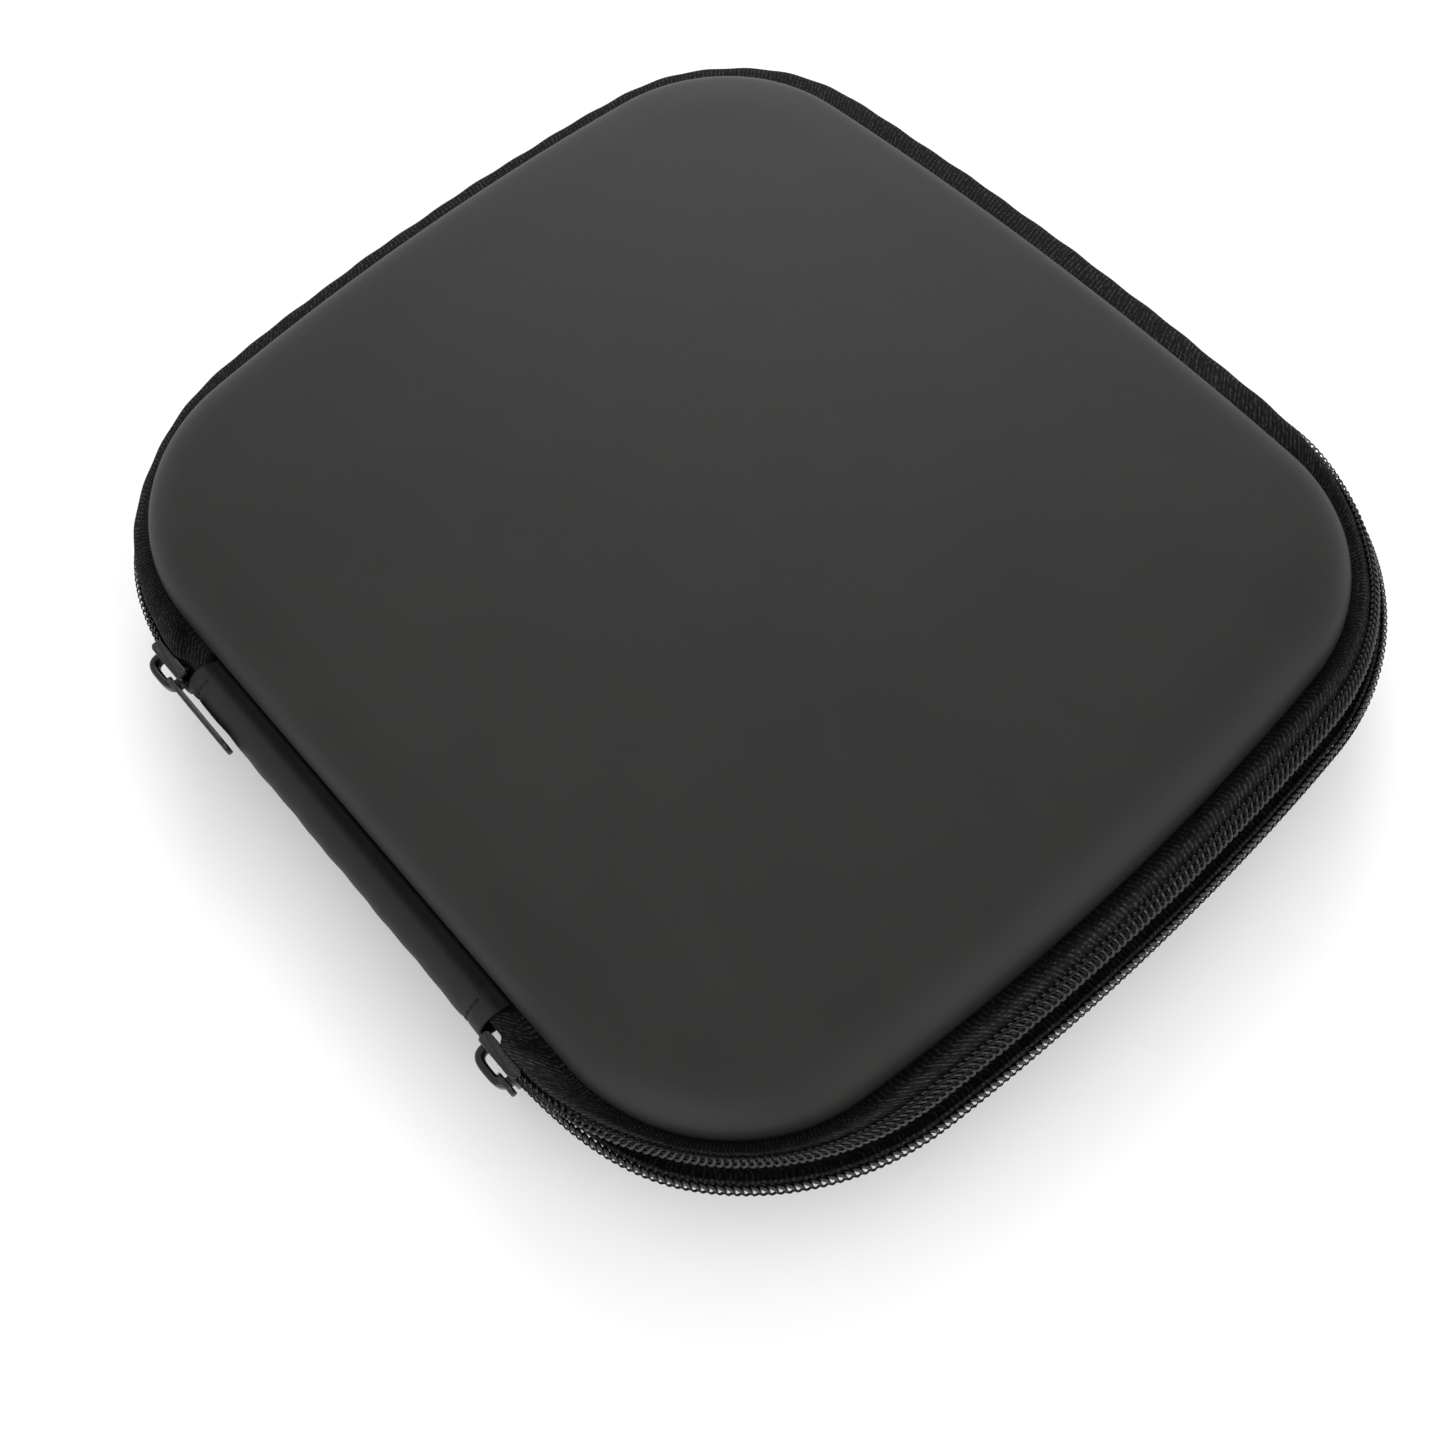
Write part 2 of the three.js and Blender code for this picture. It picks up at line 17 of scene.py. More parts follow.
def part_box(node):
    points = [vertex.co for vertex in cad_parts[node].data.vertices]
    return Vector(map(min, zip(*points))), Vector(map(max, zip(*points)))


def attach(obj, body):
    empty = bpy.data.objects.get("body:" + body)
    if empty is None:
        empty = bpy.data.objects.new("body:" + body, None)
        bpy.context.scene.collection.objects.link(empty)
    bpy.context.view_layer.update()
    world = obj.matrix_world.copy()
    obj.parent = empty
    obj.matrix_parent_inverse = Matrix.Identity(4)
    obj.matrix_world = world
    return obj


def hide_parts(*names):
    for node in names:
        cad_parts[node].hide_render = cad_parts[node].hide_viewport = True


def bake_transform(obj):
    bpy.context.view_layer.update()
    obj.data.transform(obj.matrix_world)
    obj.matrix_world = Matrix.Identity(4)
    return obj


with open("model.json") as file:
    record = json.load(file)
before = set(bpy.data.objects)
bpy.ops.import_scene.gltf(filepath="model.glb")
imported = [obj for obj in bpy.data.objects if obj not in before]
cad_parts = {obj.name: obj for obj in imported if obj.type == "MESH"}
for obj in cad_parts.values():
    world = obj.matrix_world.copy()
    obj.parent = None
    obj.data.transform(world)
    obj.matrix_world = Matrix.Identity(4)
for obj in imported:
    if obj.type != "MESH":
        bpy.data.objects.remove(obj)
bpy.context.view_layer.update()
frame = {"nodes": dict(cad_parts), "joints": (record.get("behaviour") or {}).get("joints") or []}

MM = 0.001

# ---- dimensions taken from the frame, in millimetres -----------------------------------------------

COIL_LOW, COIL_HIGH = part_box("base_zipper_coil")
HALF_WIDTH = COIL_HIGH.x / MM
HALF_DEPTH = -COIL_LOW.y / MM
LID_JOINT = next(joint for joint in frame["joints"] if joint["name"] == "lid_hinge")
RIM_Z = LID_JOINT["pos_m"][2] / MM
LID_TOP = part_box("lid_skin")[1].z / MM - RIM_Z
SPINE_LOW, SPINE_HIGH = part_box("spine_cover")
SPINE_LEFT = SPINE_LOW.x / MM
SPINE_RIGHT = SPINE_HIGH.x / MM
SLIDER_X = {}
for slider_side in ("left", "right"):
    low_corner, high_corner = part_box("slider_" + slider_side)
    SLIDER_X[slider_side] = (low_corner.x + high_corner.x) / 2 / MM
PLATE_IN_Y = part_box("slider_right")[0].y / MM

# ---- driving dimensions of the visible shapes, in millimetres --------------------------------------

SIDE_RADIUS = 514
FRONT_RADIUS = 829
BACK_RADIUS = 20000
# Radius of the zipper's outline at each corner, by the signs of x and y.
CORNER_RADIUS = {(-1, 1): 57, (1, 1): 57, (1, -1): 45, (-1, -1): 52}
# How much tighter than the zipper's each corner of the moulded walls is, by the signs of x and y.
SHELL_TIGHTER = {(-1, 1): 9.9, (1, 1): 8.8, (1, -1): -2.2, (-1, -1): 7.0}
TIGHTEN_FROM = 3.4
TIGHTEN_TO = 8.6

WALL_INSET = 9.7  # outer face of the moulded wall
SKIN_EDGE = 2.5  # height of the skin's edge, which the tape goes under
WALL_HEIGHT = 4.2  # where the wall starts to round over
FILLET_REACH = 18.5
FILLET_SQUARENESS = 2.6  # exponent of the rounding's superellipse; 2 would be an ellipse
LID_SHIFT = 1.1  # the lid's dome stands this much towards +X on its flange
CROWN_RISE = 1.2  # of the lid's middle above the top of its rounding
SKIN = 0.8
FIT = 0.1  # gap between the foam and the layers on either side of it
LINING = 0.5
LINING_INSET = 12.7
LINING_EDGE = 0.9  # height of the lining's edge
LINING_WALL = 4.6  # where the lining starts to round over
LINING_UNDER = 5.2  # depth of the lining below the outside of its shell
LINING_REACH = FILLET_REACH - 5

PITCH = 1.45  # one tooth of the zipper
COIL_LENGTH = 3.5  # of one tooth, across the tape
COIL_HEIGHT = 1.35
WIRE = 0.33  # radius of the coil's monofilament
COIL_LEAN = 0.34  # of the teeth along the rim, as a part of the pitch
COIL_SWAY = 0.035  # how unevenly the teeth stand out
HEAD_BULGE = 0.28  # how much thicker the monofilament is at the tooth heads
STITCH_ROWS = ((1.45, 0.26), (2.85, 0.22))  # each row's distance from the heads, and its sway
STITCH_RADIUS = 0.11
TAPE = 0.6
DRAWN_IN = 34  # length over which the zipper is drawn together towards a slider
FOLD_EASE = 60  # length over which the lid's tape starts to fold over its coil
TUCK = 6  # length over which the tapes dip to go under the spine's strip
TUCK_DROP = 0.5  # how much of their height the tapes lose as they dip
TUCK_INSET = 6.5  # inset that the tapes' edges draw back towards as they dip
TAPE_UNDER_STRIP = 5  # length of each tape's end under the strip

SLIDER_LENGTH = 10.6
SLIDER_UP = 0.5  # the sliders' middle above the meeting plane
PLATE = 0.9  # thickness of a slider's outer plate
INNER_PLATE = 0.7
CHANNEL_OUT = 1.9  # from a slider's middle out to its outer plate
CHANNEL_IN = 1.4  # and in to its inner plate
BRIDGE_OUT = 2.9  # how far the bridge stands off its plate
BRIDGE_LEG = 3.7  # from the slider's middle to the bridge's legs
BRIDGE_SQUARENESS = 0.62  # exponent of the bridge's superellipse; 1 would be an ellipse
PIVOT_OUT = 1.1  # from the outer plate to the puller's pivot
PULLER_LEAN = math.radians(17)  # of the hanging left puller, from straight down

# ---- the outline -----------------------------------------------------------------------------------


def quarter(inset, mirror_x, mirror_y):
    """Centres, radii and angles of one quarter's side, corner and end arcs, for an array of insets."""
    inset = np.asarray(inset, float)
    end_radius = BACK_RADIUS if mirror_y > 0 else FRONT_RADIUS
    eased = np.clip((inset - TIGHTEN_FROM) / (TIGHTEN_TO - TIGHTEN_FROM), 0, 1)
    side = SIDE_RADIUS - inset
    end = end_radius - inset
    corner = CORNER_RADIUS[mirror_x, mirror_y] - inset - SHELL_TIGHTER[mirror_x, mirror_y] * eased
    side_x = HALF_WIDTH - inset - side
    end_y = HALF_DEPTH - inset - end
    across = np.stack([-side_x, end_y])
    apart = np.hypot(*across)
    along = ((side - corner) ** 2 - (end - corner) ** 2 + apart**2) / (2 * apart)
    off = np.sqrt(np.maximum((side - corner) ** 2 - along**2, 0))
    unit = across / apart
    centre_x = side_x + unit[0] * along - unit[1] * off
    centre_y = unit[1] * along + unit[0] * off
    side_turn = np.arctan2(centre_y, centre_x - side_x)
    end_turn = np.arctan2(centre_y - end_y, centre_x)
    right_angle = np.full_like(side_turn, math.pi / 2)
    zero = np.zeros_like(side_turn)
    return [
        (side_x, zero, side, zero, side_turn),
        (centre_x, centre_y, corner, side_turn, end_turn),
        (zero, end_y, end, end_turn, right_angle),
    ]


# The twelve arcs of the ring from the middle of the spine round by -X, as
# (mirror x, mirror y, arc, reversed).
RING = [
    (-1, 1, 2, True),
    (-1, 1, 1, True),
    (-1, 1, 0, True),
    (-1, -1, 0, False),
    (-1, -1, 1, False),
    (-1, -1, 2, False),
    (1, -1, 2, True),
    (1, -1, 1, True),
    (1, -1, 0, True),
    (1, 1, 0, False),
    (1, 1, 1, False),
    (1, 1, 2, False),
]


def arc_lengths():
    lengths = []
    for mirror_x, mirror_y, arc, _ in RING:
        _, _, radius, start, stop = quarter(0.0, mirror_x, mirror_y)[arc]
        lengths.append(float(radius * (stop - start)))
    return np.array(lengths)


ARC_LENGTHS = arc_lengths()
ARC_ENDS = np.cumsum(ARC_LENGTHS)
AROUND = ARC_ENDS[-1]


def on_ring(along, inset):
    """Plan positions and outward directions at lengths along the rim and insets of the same shape."""
    along, inset = np.broadcast_arrays(np.asarray(along, float) % AROUND, np.asarray(inset, float))
    which = np.minimum(np.searchsorted(ARC_ENDS, along, side="right"), len(RING) - 1)
    x = np.zeros(along.shape)
    y = np.zeros(along.shape)
    out_x = np.zeros(along.shape)
    out_y = np.zeros(along.shape)
    starts = ARC_ENDS - ARC_LENGTHS
    for k, (mirror_x, mirror_y, arc, backwards) in enumerate(RING):
        here = which == k
        if not here.any():
            continue
        centre_x, centre_y, radius, start, stop = quarter(inset[here], mirror_x, mirror_y)[arc]
        part = (along[here] - starts[k]) / ARC_LENGTHS[k]
        part = 1 - part if backwards else part
        angle = start + (stop - start) * part
        out_x[here] = mirror_x * np.cos(angle)
        out_y[here] = mirror_y * np.sin(angle)
        x[here] = mirror_x * (centre_x + radius * np.cos(angle))
        y[here] = mirror_y * (centre_y + radius * np.sin(angle))
    return x, y, out_x, out_y


def ring_points(along, inset, height):
    """Points in metres in the frame, at lengths along the rim, insets and heights."""
    along, inset, height = np.broadcast_arrays(along, inset, height)
    x, y, _, _ = on_ring(along, inset)
    return np.stack([x, y, height + RIM_Z], -1) * MM


def smooth(t):
    """Eases from 0 to 1 as t goes from 0 to 1."""
    t = np.clip(t, 0, 1)
    return t * t * (3 - 2 * t)


# Lengths along the rim to the sliders' middles and to the strip's ends.
LEFT_AT = -SLIDER_X["left"]
RIGHT_AT = AROUND - SLIDER_X["right"]
STRIP_LEFT_AT = -SPINE_LEFT
STRIP_RIGHT_AT = AROUND - SPINE_RIGHT
FOLDS_FROM = (ARC_ENDS[3] + ARC_ENDS[4]) / 2  # middle of the corner between -X and the front


def drawn_together(along):
    """1 beside either slider, easing to 0 where the two sides of the zipper lie apart."""
    along = np.asarray(along, float)
    reach = SLIDER_LENGTH / 2
    left = 1 - smooth((along - LEFT_AT - reach) / DRAWN_IN)
    right = 1 - smooth((RIGHT_AT - reach - along) / DRAWN_IN)
    return np.maximum(left, right)


def folded_over(along):
    """1 round the front and the +X side, where the lid's tape folds over its coil, easing to 0."""
    return smooth((np.asarray(along, float) - FOLDS_FROM) / FOLD_EASE) * (1 - drawn_together(along))


# ---- meshes ----------------------------------------------------------------------------------------


def new_object(name, verts, faces, material, uv=None, smooth_shaded=True):
    mesh = bpy.data.meshes.new(name)
    mesh.from_pydata([tuple(v) for v in verts], [], [tuple(int(i) for i in f) for f in faces])
    mesh.validate()
    if smooth_shaded:
        mesh.polygons.foreach_set("use_smooth", [True] * len(mesh.polygons))
    if uv is not None:
        layer = mesh.uv_layers.new(name="along_across")
        corners = np.zeros(len(mesh.loops), dtype=int)
        mesh.loops.foreach_get("vertex_index", corners)
        layer.data.foreach_set("uv", np.asarray(uv, float)[corners].ravel())
    mesh.update()
    obj = bpy.data.objects.new(name, mesh)
    bpy.context.scene.collection.objects.link(obj)
    obj.data.materials.append(material)
    return obj


def grid_faces(rows, columns, wrap_rows=False, wrap_columns=False):
    """Quads of a rows x columns grid of vertices numbered row by row."""
    r = np.arange(rows if wrap_rows else rows - 1)
    c = np.arange(columns if wrap_columns else columns - 1)
    r, c = np.meshgrid(r, c, indexing="ij")
    r2 = (r + 1) % rows
    c2 = (c + 1) % columns
    quads = np.stack([r * columns + c, r * columns + c2, r2 * columns + c2, r2 * columns + c], -1)
    return quads.reshape(-1, 4).tolist()


def swept_faces(rows, columns):
    """Faces of a closed section swept through a number of rows, with a cap at each end."""
    faces = grid_faces(rows, columns, wrap_columns=True)
    faces.append(list(range(columns)))
    faces.append(list(range((rows - 1) * columns, rows * columns)))
    return faces


def outward(obj):
    """Turns a closed mesh's faces outwards."""
    bm = bmesh.new()
    bm.from_mesh(obj.data)
    bmesh.ops.recalc_face_normals(bm, faces=bm.faces)
    bm.to_mesh(obj.data)
    bm.free()
    return obj


def band(name, along, inset, height, material):
    """A closed ribbon swept along the rim: inset and height have one row per place along it."""
    points = ring_points(np.asarray(along)[:, None], inset, height)
    faces = swept_faces(*points.shape[:2])
    across = np.concatenate([[0], np.cumsum(np.hypot(np.diff(inset[0]), np.diff(height[0])))])
    uv = np.stack(np.broadcast_arrays(np.asarray(along)[:, None] * MM, across[None, :] * MM), -1)
    return outward(new_object(name, points.reshape(-1, 3), faces, material, uv.reshape(-1, 2)))


def bowl(name, outer, inner, crown, material, steps=288, cap_rings=18):
    """A moulded shell between two profiles of (inset, height) from the rim to the flat middle."""
    along = np.linspace(0, AROUND, steps, endpoint=False)
    verts = []
    faces = []

    def side(profile, first):
        rings = [ring_points(along, s, h) for s, h in profile]
        edge = rings[-1]
        for i in range(1, cap_rings):
            t = 1 - i / cap_rings
            ring = edge * [t, t, 1]
            ring[:, 2] += crown * MM * (1 - t * t)
            rings.append(ring)
        verts.extend(np.concatenate(rings))
        quads = np.array(grid_faces(len(rings), steps, wrap_columns=True))
        faces.extend((quads + first).tolist())
        verts.append(Vector((0, 0, edge[0, 2] + crown * MM)))
        middle = first + len(rings) * steps
        last = first + (len(rings) - 1) * steps
        for i in range(steps):
            faces.append([last + i, last + (i + 1) % steps, middle])
        return middle + 1

    start_inner = side(outer, 0)
    side(inner, start_inner)
    for i in range(steps):
        j = (i + 1) % steps
        faces.append([i, j, start_inner + j, start_inner + i])
    return outward(new_object(name, verts, faces, material))


def tube(points, radius, sides, reference):
    """Vertices and faces of a tube along points. reference is a direction never along the path."""
    points = np.asarray(points, float)
    tangent = np.gradient(points, axis=0)
    tangent /= np.linalg.norm(tangent, axis=1, keepdims=True)
    side = np.cross(tangent, np.broadcast_to(reference, points.shape))
    side /= np.maximum(np.linalg.norm(side, axis=1, keepdims=True), 1e-12)
    up = np.cross(side, tangent)
    angles = np.linspace(0, 2 * math.pi, sides, endpoint=False)[None, :, None]
    ring = side[:, None, :] * np.cos(angles) + up[:, None, :] * np.sin(angles)
    verts = points[:, None, :] + ring * np.broadcast_to(radius, (len(points),))[:, None, None]
    return verts.reshape(-1, 3), swept_faces(len(points), sides)


def merged(parts):
    """Joins (verts, faces) pairs into one."""
    verts = []
    faces = []
    for part_verts, part_faces in parts:
        first = len(verts)
        verts.extend(part_verts)
        faces.extend([[i + first for i in face] for face in part_faces])
    return verts, faces


# ---- materials -------------------------------------------------------------------------------------


class Nodes:
    """A short way to build a node material."""

    def __init__(self, name):
        self.material = bpy.data.materials.new(name)
        self.material.use_nodes = True
        self.tree = self.material.node_tree
        self.shader = self.tree.nodes["Principled BSDF"]
        self.output = self.tree.nodes["Material Output"]
        self.coordinates = self.tree.nodes.new("ShaderNodeTexCoord")

    def add(self, kind, inputs=None, **settings):
        node = self.tree.nodes.new("ShaderNode" + kind)
        for key, value in settings.items():
            setattr(node, key, value)
        for key, value in (inputs or {}).items():
            self.put(node.inputs[key], value)
        return node

    def put(self, socket, value):
        if isinstance(value, bpy.types.NodeSocket):
            self.tree.links.new(value, socket)
        else:
            socket.default_value = value

    def math(self, operation, a, b=0.0, clamp=False):
        node = self.add("Math", operation=operation, use_clamp=clamp)
        self.put(node.inputs[0], a)
        self.put(node.inputs[1], b)
        return node.outputs[0]

    def sum(self, a, share_a, b, share_b):
        """Two numbers added in the given shares."""
        return self.math("ADD", self.math("MULTIPLY", a, share_a), self.math("MULTIPLY", b, share_b))

    def noise(self, scale, detail=3.0, roughness=0.5, vector=None):
        node = self.add("TexNoise", {"Scale": scale, "Detail": detail, "Roughness": roughness})
        self.put(node.inputs["Vector"], vector or self.coordinates.outputs["Object"])
        return node.outputs["Fac"]

    def ramp(self, value, low, high, low_at=0.0, high_at=1.0):
        """Maps a number to a range of numbers or of colours."""
        node = self.add("ValToRGB")
        node.color_ramp.elements[0].position = low_at
        node.color_ramp.elements[1].position = high_at
        as_colour = [c if isinstance(c, (tuple, list)) else (c, c, c) for c in (low, high)]
        node.color_ramp.elements[0].color = (*as_colour[0], 1)
        node.color_ramp.elements[1].color = (*as_colour[1], 1)
        self.put(node.inputs[0], value)
        return node.outputs[0]

    def scaled(self, vector, x, y):
        node = self.add("Mapping", {"Vector": vector, "Scale": (x, y, 1)})
        return node.outputs[0]

    def bump(self, height, distance, strength=1.0, after=None):
        node = self.add("Bump", {"Height": height, "Distance": distance, "Strength": strength})
        if after is not None:
            self.put(node.inputs["Normal"], after)
        return node.outputs[0]

    def finish(self, **inputs):
        """Sets the shader's inputs, named with _ for a space, and returns the material."""
        for key, value in inputs.items():
            self.put(self.shader.inputs[key.replace("_", " ")], value)
        return self.material


def leather(name, dark, light):
    """Soft-touch moulded leatherette: fine pebbles under a broad, faint unevenness."""
    n = Nodes(name)
    position = n.coordinates.outputs["Object"]
    cloudy = n.noise(14, 4, 0.6)
    patch = n.noise(60, 3, 0.6)
    grain = n.noise(2600, 3, 0.65)
    pebble = n.add("TexVoronoi", {"Scale": 1500.0, "Vector": position}).outputs["Distance"]
    broad = n.sum(cloudy, 0.7, patch, 0.3)
    tint = n.sum(broad, 0.75, grain, 0.25)
    colour = n.ramp(tint, dark, light, 0.3, 0.7)
    normal = n.bump(cloudy, 0.0006, 0.2)
    normal = n.bump(pebble, 0.00004, 0.45, normal)
    normal = n.bump(grain, 0.00003, 0.45, normal)
    rough = n.ramp(n.sum(grain, 0.4, cloudy, 0.6), 0.5, 0.6, 0.3, 0.7)
    n.put(n.shader.inputs["Specular IOR Level"], 0.22)
    return n.finish(Base_Color=colour, Roughness=rough, Normal=normal)


def knitted(name, dark, light, rows, columns, depth):
    """Knitted tape: loops in rows along the tape and columns across it, in loops per metre."""
    n = Nodes(name)
    uv = n.coordinates.outputs["UV"]
    cells = n.scaled(uv, columns, rows)
    loops = n.add("TexVoronoi", {"Scale": 1.0, "Randomness": 0.7, "Vector": cells})
    loop = n.math("SUBTRACT", 1.0, n.math("MULTIPLY", loops.outputs["Distance"], 1.35), clamp=True)
    ribs = n.scaled(uv, columns / 6, rows / 6)
    chain = n.add("TexWave", {"Scale": 1.0, "Distortion": 3.5, "Detail": 2.0, "Vector": ribs})
    chain.wave_type = "BANDS"
    chain.bands_direction = "X"
    fuzz = n.noise(1.0, 3, 0.7, n.scaled(uv, 4200, 4200))
    weave = n.sum(loop, 0.6, chain.outputs["Fac"], 0.4)
    frayed = n.math("ADD", 0.25, n.math("POWER", fuzz, 1.5))
    # painted highlight and shade: colour runs from dark in the hollows between loops to light on the
    # loop tops, broken up by fibre fuzz
    painted_loop_highlight = n.math("MULTIPLY", n.math("POWER", weave, 2.0), frayed)
    colour = n.ramp(painted_loop_highlight, dark, light, 0.08, 0.5)
    normal = n.bump(weave, depth, 1.0)
    normal = n.bump(fuzz, 0.00005, 0.6, normal)
    n.put(n.shader.inputs["Specular IOR Level"], 0.2)
    rough = n.ramp(fuzz, 0.65, 0.9, 0.3, 0.7)
    return n.finish(Base_Color=colour, Roughness=rough, Normal=normal)


def woven(name, dark, light, threads):
    """Plain-woven lining cloth with fine crossed threads."""
    n = Nodes(name)
    position = n.coordinates.outputs["Object"]
    warp = n.add("TexWave", {"Scale": threads, "Distortion": 0.6, "Detail": 1.0, "Vector": position})
    weft = n.add("TexWave", {"Scale": threads, "Distortion": 0.6, "Detail": 1.0, "Vector": position})
    weft.bands_direction = "Y"
    fuzz = n.noise(2400, 3, 0.7)
    cloudy = n.noise(25, 3, 0.6)
    cross = n.math("ADD", warp.outputs["Fac"], weft.outputs["Fac"])
    height = n.sum(cross, 0.4, fuzz, 0.3)
    colour = n.ramp(n.sum(height, 0.7, cloudy, 0.3), dark, light, 0.25, 0.85)
    n.put(n.shader.inputs["Sheen Weight"], 0.35)
    rough = n.ramp(fuzz, 0.8, 0.95, 0.3, 0.7)
    return n.finish(Base_Color=colour, Roughness=rough, Normal=n.bump(height, 0.0002, 0.9))


def nylon(name, dark, light, roughness, shine):
    """Smooth or spun nylon with fine streaks."""
    n = Nodes(name)
    streak = n.noise(1400, 2, 0.5)
    broad = n.noise(90, 3, 0.6)
    colour = n.ramp(n.sum(streak, 0.6, broad, 0.4), dark, light, 0.3, 0.75)
    rough = n.ramp(streak, roughness - 0.07, roughness + 0.1, 0.3, 0.7)
    n.put(n.shader.inputs["Specular IOR Level"], shine)
    return n.finish(Base_Color=colour, Roughness=rough, Normal=n.bump(streak, 0.00002, 0.4))


def enamel(name):
    """Glossy black enamel on cast metal, with a painted highlight (a lighter colour) along its sharp
    edges, which are also a little rougher.
    """
    n = Nodes(name)
    ripple = n.noise(420, 3, 0.5)
    specks = n.noise(2600, 2, 0.5)
    edge = n.add("NewGeometry").outputs["Pointiness"]
    patchy = n.ramp(specks, 0.2, 1.0, 0.35, 0.65)
    # painted highlight: the sharp edges, found by their pointiness, get a lighter colour in patches
    painted_edge_highlight = n.math("MULTIPLY", n.ramp(edge, 0.0, 1.0, 0.54, 0.62), patchy)
    colour = n.add("Mix", data_type="RGBA")
    n.put(colour.inputs["Factor"], painted_edge_highlight)
    n.put(colour.inputs["A"], (0.004, 0.0036, 0.004, 1))
    n.put(colour.inputs["B"], (0.02, 0.019, 0.019, 1))
    # the same edge mask also raises the roughness along the edges
    rough = n.ramp(n.sum(ripple, 0.5, painted_edge_highlight, 0.6), 0.2, 0.42, 0.2, 0.9)
    n.put(n.shader.inputs["Coat Weight"], 0.08)
    n.put(n.shader.inputs["Coat Roughness"], 0.08)
    n.put(n.shader.inputs["Specular IOR Level"], 0.3)
    normal = n.bump(ripple, 0.00003, 0.5)
    return n.finish(Base_Color=colour.outputs["Result"], Roughness=rough, Normal=normal)


def foam(name, dark, light):
    """Closed-cell foam: fine bubbles under a broad unevenness."""
    n = Nodes(name)
    position = n.coordinates.outputs["Object"]
    cells = n.add("TexVoronoi", {"Scale": 1700.0, "Vector": position}).outputs["Distance"]
    cloudy = n.noise(40, 3, 0.6)
    colour = n.ramp(n.sum(cells, 0.5, cloudy, 0.5), dark, light, 0.2, 0.8)
    rough = n.ramp(cells, 0.82, 0.97)
    return n.finish(Base_Color=colour, Roughness=rough, Normal=n.bump(cells, 0.0001, 0.6))


def net(name, dark, light, cell):
    """Knitted net: thin yarns round open cells, cell metres apart."""
    n = Nodes(name)
    position = n.coordinates.outputs["Object"]
    diagonal = (0, 0, math.pi / 4)
    size = (1 / cell,) * 3
    turned = n.add("Mapping", {"Vector": position, "Rotation": diagonal, "Scale": size})
    split = n.add("SeparateXYZ", {"Vector": turned.outputs[0]})
    across = n.math("ABSOLUTE", n.math("SINE", n.math("MULTIPLY", split.outputs["X"], math.pi)))
    down = n.math("ABSOLUTE", n.math("SINE", n.math("MULTIPLY", split.outputs["Y"], math.pi)))
    open_across = n.ramp(across, 0.0, 1.0, 0.42, 0.5)
    open_down = n.ramp(down, 0.0, 1.0, 0.42, 0.5)
    hole = n.math("MULTIPLY", open_across, open_down)
    fuzz = n.noise(3000, 3, 0.7)
    colour = n.ramp(fuzz, dark, light, 0.3, 0.7)
    height = n.sum(n.math("SUBTRACT", 1.0, hole), 0.7, fuzz, 0.3)
    n.finish(Base_Color=colour, Roughness=n.ramp(fuzz, 0.7, 0.9), Normal=n.bump(height, 0.0003, 0.8))
    clear = n.add("BsdfTransparent")
    mix = n.add("MixShader", {"Fac": hole})
    n.tree.links.new(n.shader.outputs[0], mix.inputs[1])
    n.tree.links.new(clear.outputs[0], mix.inputs[2])
    n.tree.links.new(mix.outputs[0], n.output.inputs["Surface"])
    return n.material


SKIN_LOOK = leather("soft_touch_leather", (0.0100, 0.0096, 0.0090), (0.0165, 0.0159, 0.0150))
STRIP_LOOK = leather("spine_leather", (0.0085, 0.0080, 0.0075), (0.0140, 0.0132, 0.0124))
TAPE_LOOK = knitted("knitted_tape", (0.0016, 0.0015, 0.0017), (0.062, 0.060, 0.058), 2300, 1900, 0.00018)
ELASTIC_LOOK = knitted("ribbed_elastic", (0.003, 0.003, 0.0034), (0.05, 0.05, 0.052), 900, 2400, 0.0003)
LINING_LOOK = woven("lining_cloth", (0.008, 0.008, 0.010), (0.032, 0.033, 0.037), 700)
COIL_LOOK = nylon("coil_nylon", (0.0022, 0.0016, 0.0018), (0.007, 0.005, 0.0053), 0.22, 0.42)
THREAD_LOOK = nylon("sewing_thread", (0.002, 0.002, 0.002), (0.012, 0.0115, 0.011), 0.55, 0.12)
SEAM_LOOK = nylon("seam_thread", (0.002, 0.002, 0.002), (0.010, 0.0098, 0.0095), 0.5, 0.2)
METAL_LOOK = enamel("black_enamel")
FOAM_LOOK = foam("moulded_foam", (0.010, 0.010, 0.011), (0.035, 0.035, 0.036))
NET_LOOK = net("pocket_net", (0.012, 0.012, 0.013), (0.05, 0.05, 0.054), 0.0021)

# ---- moulded shells --------------------------------------------------------------------------------


def wall_profile(total, crown, set_in, steps=18):
    """(inset, height) from the skin's edge up the wall and over the rounding, for a shell this tall."""
    inset = WALL_INSET + set_in
    profile = [(inset + 0.5, SKIN_EDGE - 0.5), (inset + 0.12, SKIN_EDGE), (inset, SKIN_EDGE + 0.6)]
    rise = total - crown - WALL_HEIGHT - set_in
    reach = FILLET_REACH - set_in
    for i in range(steps + 1):
        angle = math.pi / 2 * i / steps
        sideways = 1 - math.cos(angle) ** (2 / FILLET_SQUARENESS)
        upwards = math.sin(angle) ** (2 / FILLET_SQUARENESS)
        profile.append((inset + reach * sideways, WALL_HEIGHT + rise * upwards))
    return profile


def shell_layer(name, outer, inner, towards, crown, look, shift=0.0):
    """A bowl between two profiles, drawn upwards or downwards from the meeting plane."""
    faces = [[(s, towards * h) for s, h in profile] for profile in (outer, inner)]
    obj = bowl(name, *faces, towards * crown, look)
    for vertex in obj.data.vertices:
        vertex.co.x += shift * MM
    return obj


def lining_profile(total, set_in, steps=12):
    """(inset, height) from the lining's edge up its wall and over its rounding."""
    inset = LINING_INSET + set_in
    profile = [(inset, LINING_EDGE)]
    rise = total - LINING_UNDER - set_in - LINING_WALL
    reach = LINING_REACH - set_in
    for i in range(steps + 1):
        angle = math.pi / 2 * i / steps
        profile.append((inset + reach * (1 - math.cos(angle)), LINING_WALL + rise * math.sin(angle)))
    return profile


